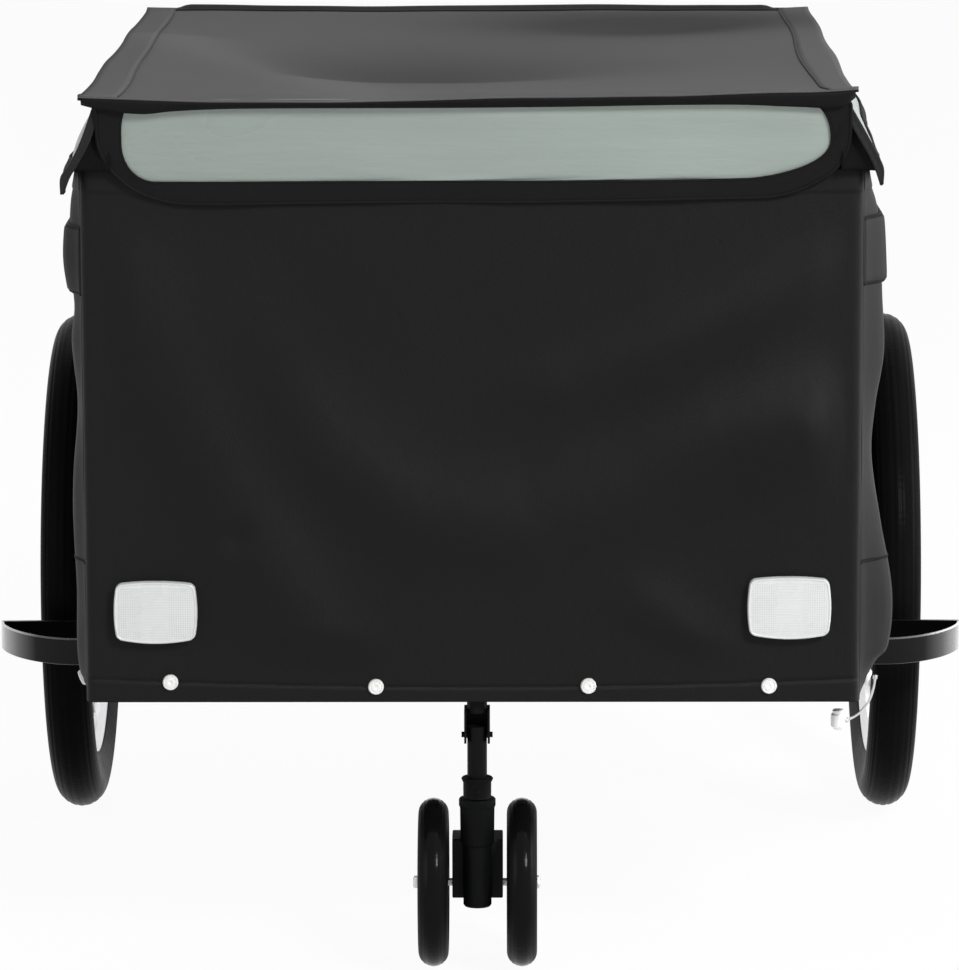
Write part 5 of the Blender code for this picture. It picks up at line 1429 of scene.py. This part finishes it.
class TRAILER_OT_wheels(bpy.types.Operator):
    """Builds both spoked wheels: tyres, rims, hubs, laced spokes with nipples, and a valve each"""
    bl_idname = "trailer.wheels"
    bl_label = "Spoked wheels"

    def execute(self, context):
        wheel = context.scene.trailer_wheel
        rim = mirrored(sized(((158.3, 11.8), (158.3, 12.8), (156.0, 12.8), (154.5, 12.0), (150.0, 11.2),
                              (146.2, 8.0), (145.4, 4.0))), (0.1452, 0.0))
        rim += sized(((153.0, -10.0), (151.6, 0), (153.0, 10.0)))
        for label, _ in SIDES:
            body, centre = label + "_wheel", middle(label + "_tyre")
            section = tyre_section(label + "_tyre", *TYRE_BEAD, wheel.tread_depth)
            spun(label + "_tyre", label + "_tyre_rubber", section, wheel.tyre_steps, "rubber", centre,
                 body, 50)
            spun(label + "_rim", label + "_rim_hoop", rim, 144, "alloy", centre, body)
            self.hub(label, body, centre)
            self.valve(label, body, centre)
        return {"FINISHED"}

    def hub(self, label, body, centre):
        """The turned hub shell and its twenty spokes, each hooked through a flange and set in a nipple."""
        profile = mirrored(sized(((9.5, 23.0), (10.2, 22.6), (11.2, 19.0), (12.0, 18.7), (20.0, 18.7),
                                  (20.9, 18.0), (20.9, 16.0), (20.0, 15.3), (12.5, 15.0), (10.8, 12.8),
                                  (9.8, 6.0))))
        profile += sized(((6.8, -23.0), (6.8, 23.0)))
        spun(label + "_hub", label + "_hub_shell", profile, 64, "steel", centre, body)
        spokes, nipples = bmesh.new(), bmesh.new()
        for i in range(SPOKES):
            flange = 1 if i % 2 else -1
            turn = 2 * pi * i / SPOKES
            laced = turn + (SPOKE_SWING if i % 4 < 2 else -SPOKE_SWING)
            root = centre + Vector((flange * 0.0170, SPOKE_ROOT * sin(laced), SPOKE_ROOT * cos(laced)))
            end = centre + Vector((flange * 0.0030, SPOKE_END * sin(turn), SPOKE_END * cos(turn)))
            neck = end + (root - end).normalized() * 0.0110
            hook = Vector((flange * 0.0001, 0, 0))
            self.stick(spokes, root, neck, 0.00095, 10)
            self.stick(spokes, root - hook * 22, root + hook * 26, 0.0013, 10)
            self.stick(nipples, neck, end, 0.0019, 12)
        piece(label + "_spokes", spokes, "steel", body, angle=40, origin=centre)
        piece(label + "_spoke_nipples", nipples, "alloy", body, angle=40, origin=centre)

    def stick(self, shape, start, end, radius, sides):
        run = end - start
        place = Matrix.Translation((start + end) / 2) @ along(run)
        bmesh.ops.create_cone(shape, cap_ends=True, segments=sides, radius1=radius, radius2=radius,
                              depth=run.length, matrix=place)

    def valve(self, label, body, centre):
        profile = sized(((0, 12.0), (2.4, 12.0), (3.0, 10.8), (3.0, 4.0), (2.2, 3.4), (2.2, -11.0),
                         (0, -11.0)))
        turned(label + "_valve", profile, 24, "plastic", (0, -0.22, -1),
               centre + Vector((0, 0.0300, 0.1390)), body, own=True)


class TRAILER_OT_caster(bpy.types.Operator):
    """Builds the twin wheel caster: collar, button, swivel housing, axle block, bolt, tyres and hubs"""
    bl_idname = "trailer.caster"
    bl_label = "Front caster"

    def execute(self, context):
        low, high = [corner[2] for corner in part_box("caster_collar")]
        collar = [(0.0076, high), (0.0108, high + 0.0002), (0.0116, high - 0.0006), (0.0112, high - 0.0020),
                  (0.0103, high - 0.0034), (0.0102, low + 0.0012), (0.0105, low + 0.0002),
                  (0.0076, low + 0.0002)]
        self.upright("collar_sleeve", collar, "caster_leg", "caster_collar", True)
        self.button()
        base, top = [corner[2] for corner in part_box("swivel_housing")]
        housing = [(0.0056, top), (0.0128, top), (0.0134, top - 0.0007), (0.0134, top - 0.0052),
                   (0.0129, top - 0.0062), (0.0126, top - 0.0072), (0.0123, 0.1000), (0.0116, 0.0984),
                   (0.0105, 0.0978), (0.0103, base + 0.0016), (0.0094, base + 0.0004), (0.0060, base),
                   (0, base), (0, 0.0596), (0.0056, 0.0596)]
        self.upright("swivel_barrel", housing, "caster_fork", "swivel_housing", False)
        self.block()
        self.bolt()
        for label, _ in SIDES:
            self.wheel(label, context.scene.trailer_wheel)
        return {"FINISHED"}

    def upright(self, name, profile, body, node, closed):
        """A piece turned on the swivel's upright line."""
        swivel = middle("caster_collar")
        item = turned(name, profile, 64, "plastic", (0, 0, 1), Vector((swivel[0], swivel[1], 0)), body,
                      closed)
        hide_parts(node)

    def button(self):
        radius, half, _ = half_size("caster_button")
        profile = [(0, half), (radius * 0.70, half), (radius * 0.95, half - 0.0004), (radius, half - 0.0009),
                   (radius, -half), (0, -half)]
        cap = turned("release_button_cap", profile, 28, "plastic", (0, -1, 0), middle("caster_button"),
                     "caster_release")
        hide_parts("caster_button")

    def block(self):
        """The axle block behind the swivel, with eased edges and a shallow recess at each side."""
        shape = bmesh.new()
        box_mesh(shape, [2 * half for half in half_size("axle_block")], middle("axle_block"))
        sides = [face for face in shape.faces if abs(face.normal.x) > 0.9]
        bmesh.ops.inset_individual(shape, faces=sides, thickness=0.0035, depth=0.0)
        for face in sides:
            inward = -0.0012 if face.normal.x > 0 else 0.0012
            bmesh.ops.translate(shape, verts=face.verts, vec=(inward, 0, 0))
        # Its lighter plastic is painted light for the shade behind the housing.
        item = piece("axle_block_body", shape, "block", "caster_fork", angle=30)
        round_edges(item, 0.0012, 3)
        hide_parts("axle_block")

    def bolt(self):
        """The caster's axle bolt: a hexagon head and a domed nut outside the wheels."""
        _, y, z = middle("left_caster_tyre")
        low, high = [corner[0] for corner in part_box("caster_axle")]
        shank = rod("caster_bolt_shank", (low + 0.0030, y, z), (high - 0.0022, y, z), 0.0029, "steel",
                    "caster_fork", 28)
        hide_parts("caster_axle")
        head = sized(((0, 1.6), (3.0, 1.6), (4.5, 0.9), (4.8, 0), (4.8, -1.6), (0, -1.6)))
        turned("caster_bolt_head", head, 6, "steel", (-1, 0, 0), Vector((low + 0.0016, y, z)), "caster_fork")
        nut = sized(((0, 1.3), (2.2, 1.3), (4.0, 0.8), (5.0, 0), (5.0, -1.2), (0, -1.2)))
        turned("caster_bolt_nut", nut, 6, "bright_steel", (1, 0, 0), Vector((high - 0.0013, y, z)),
               "caster_fork")

    def wheel(self, label, settings):
        body, centre = label + "_caster_wheel", middle(label + "_caster_tyre")
        section = tyre_section(label + "_caster_tyre", *CASTER_BEAD, settings.tread_depth / 2, 32)
        spun(label + "_caster_tyre", label + "_caster_tyre_rubber", section, 120, "caster_rubber", centre,
             body, 50)
        profile = mirrored(sized(((4.6, 10.8), (9.8, 10.8), (11.0, 10.0), (11.4, 4.6), (13.0, 4.0),
                                  (35.2, 4.0), (37.2, 4.6), (38.0, 8.0), (39.0, 8.6), (43.4, 8.6),
                                  (43.8, 8.0))))
        spun(label + "_caster_hub", label + "_caster_hub_disc", profile, 96, "plastic", centre, body, 30)
        ribs = bmesh.new()
        for i in range(6):
            turn = 2 * pi * i / 6
            for face in (-1, 1):
                place = centre + Vector((face * 0.0052, 0.0243 * sin(turn), 0.0243 * cos(turn)))
                box_mesh(ribs, (0.0030, 0.0022, 0.0254), place, Matrix.Rotation(-turn, 4, "X"))
        item = piece(label + "_caster_hub_ribs", ribs, "plastic", body, angle=30, origin=centre)
        round_edges(item, 0.0004, 2)


class TRAILER_OT_frame(bpy.types.Operator):
    """Finishes the frame, axle, bows, floor and knuckle, and adds axle nuts, corner caps and rail rivets"""
    bl_idname = "trailer.frame"
    bl_label = "Frame and axle"

    def execute(self, context):
        nodes_take("paint", "base_frame", "front_hoop", "rear_hoop", "left_top_rail", "right_top_rail",
                   "front_cover_bow", "rear_cover_bow", "tow_bar_receiver", "fold_knuckle", "caster_post",
                   "knuckle_pin")
        nodes_take("board", "floor_panel")
        nodes_take("steel", "axle")
        cap = sized(((0, 13.0), (2.2, 12.8), (4.6, 11.2), (6.0, 8.0), (6.4, 4.0), (7.4, 2.6), (7.6, 0),
                     (0, 0)))
        rivet = sized(((0, 1.2), (1.8, 1.1), (3.0, 0.6), (3.3, 0), (0, 0)))
        for label, side in SIDES:
            self.axle_nut(label, side)
            for name, y in CORNER_CAPS.items():
                turned("%s_%s_corner_cap" % (name, label), cap, 32, "plastic", (0, 0, 1),
                       Vector((side * 0.2668, y, RIM - 0.0028)))
            rail_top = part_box(label + "_top_rail")[1][2]
            for i, y in enumerate(RAIL_RIVETS):
                turned("%s_rail_rivet_%d" % (label, i + 1), rivet, 24, "steel", (0, 0, 1),
                       Vector((side * 0.2643, y, rail_top - 0.0001)))
        return {"FINISHED"}

    def axle_nut(self, label, side):
        """A domed hexagon nut with a flange, on the axle's end."""
        node = label + "_axle_nut"
        half, radius, _ = half_size(node)
        profile = sized(((0, 1), (0.62, 1), (0.86, 0.75), (0.96, 0.30), (0.96, -0.45), (1.02, -0.50),
                         (1.02, -1), (0, -1)), radius, half)
        nut = turned(node + "_cap", profile, 6, "steel", (side, 0, 0), middle(node))
        round_edges(nut, 0.0006, 2)
        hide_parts(node)


PROPERTY_GROUPS = (("trailer_stage", StageSettings), ("trailer_cloth", ClothSettings),
                   ("trailer_wheel", WheelSettings), ("trailer_fitting", FittingSettings))
OPERATORS = (TRAILER_OT_finishes, TRAILER_OT_stage, TRAILER_OT_lanyard, TRAILER_OT_end_walls,
             TRAILER_OT_side_walls, TRAILER_OT_cover, TRAILER_OT_end_skirts, TRAILER_OT_side_skirts,
             TRAILER_OT_snaps, TRAILER_OT_reflectors, TRAILER_OT_guards, TRAILER_OT_wheels, TRAILER_OT_caster,
             TRAILER_OT_frame)


class TRAILER_PT_panel(bpy.types.Panel):
    """Lists the trailer's settings and the steps that build it"""
    bl_idname = "TRAILER_PT_panel"
    bl_label = "Trailer"
    bl_space_type = "VIEW_3D"
    bl_region_type = "UI"
    bl_category = "Trailer"

    def draw(self, context):
        for name, group in PROPERTY_GROUPS:
            box = self.layout.box()
            for prop in group.__annotations__:
                box.prop(getattr(context.scene, name), prop)
        for operator in OPERATORS:
            self.layout.operator(operator.bl_idname)


def register():
    for name, group in PROPERTY_GROUPS:
        bpy.utils.register_class(group)
        setattr(bpy.types.Scene, name, PointerProperty(type=group))
    for operator in OPERATORS:
        bpy.utils.register_class(operator)
    bpy.utils.register_class(TRAILER_PT_panel)


def unregister():
    bpy.utils.unregister_class(TRAILER_PT_panel)
    for operator in reversed(OPERATORS):
        bpy.utils.unregister_class(operator)
    for name, group in reversed(PROPERTY_GROUPS):
        delattr(bpy.types.Scene, name)
        bpy.utils.unregister_class(group)


def main():
    register()
    for operator in OPERATORS:
        group, name = operator.bl_idname.split(".")
        getattr(getattr(bpy.ops, group), name)()
    bpy.context.view_layer.update()


if __name__ == "__main__":
    main()
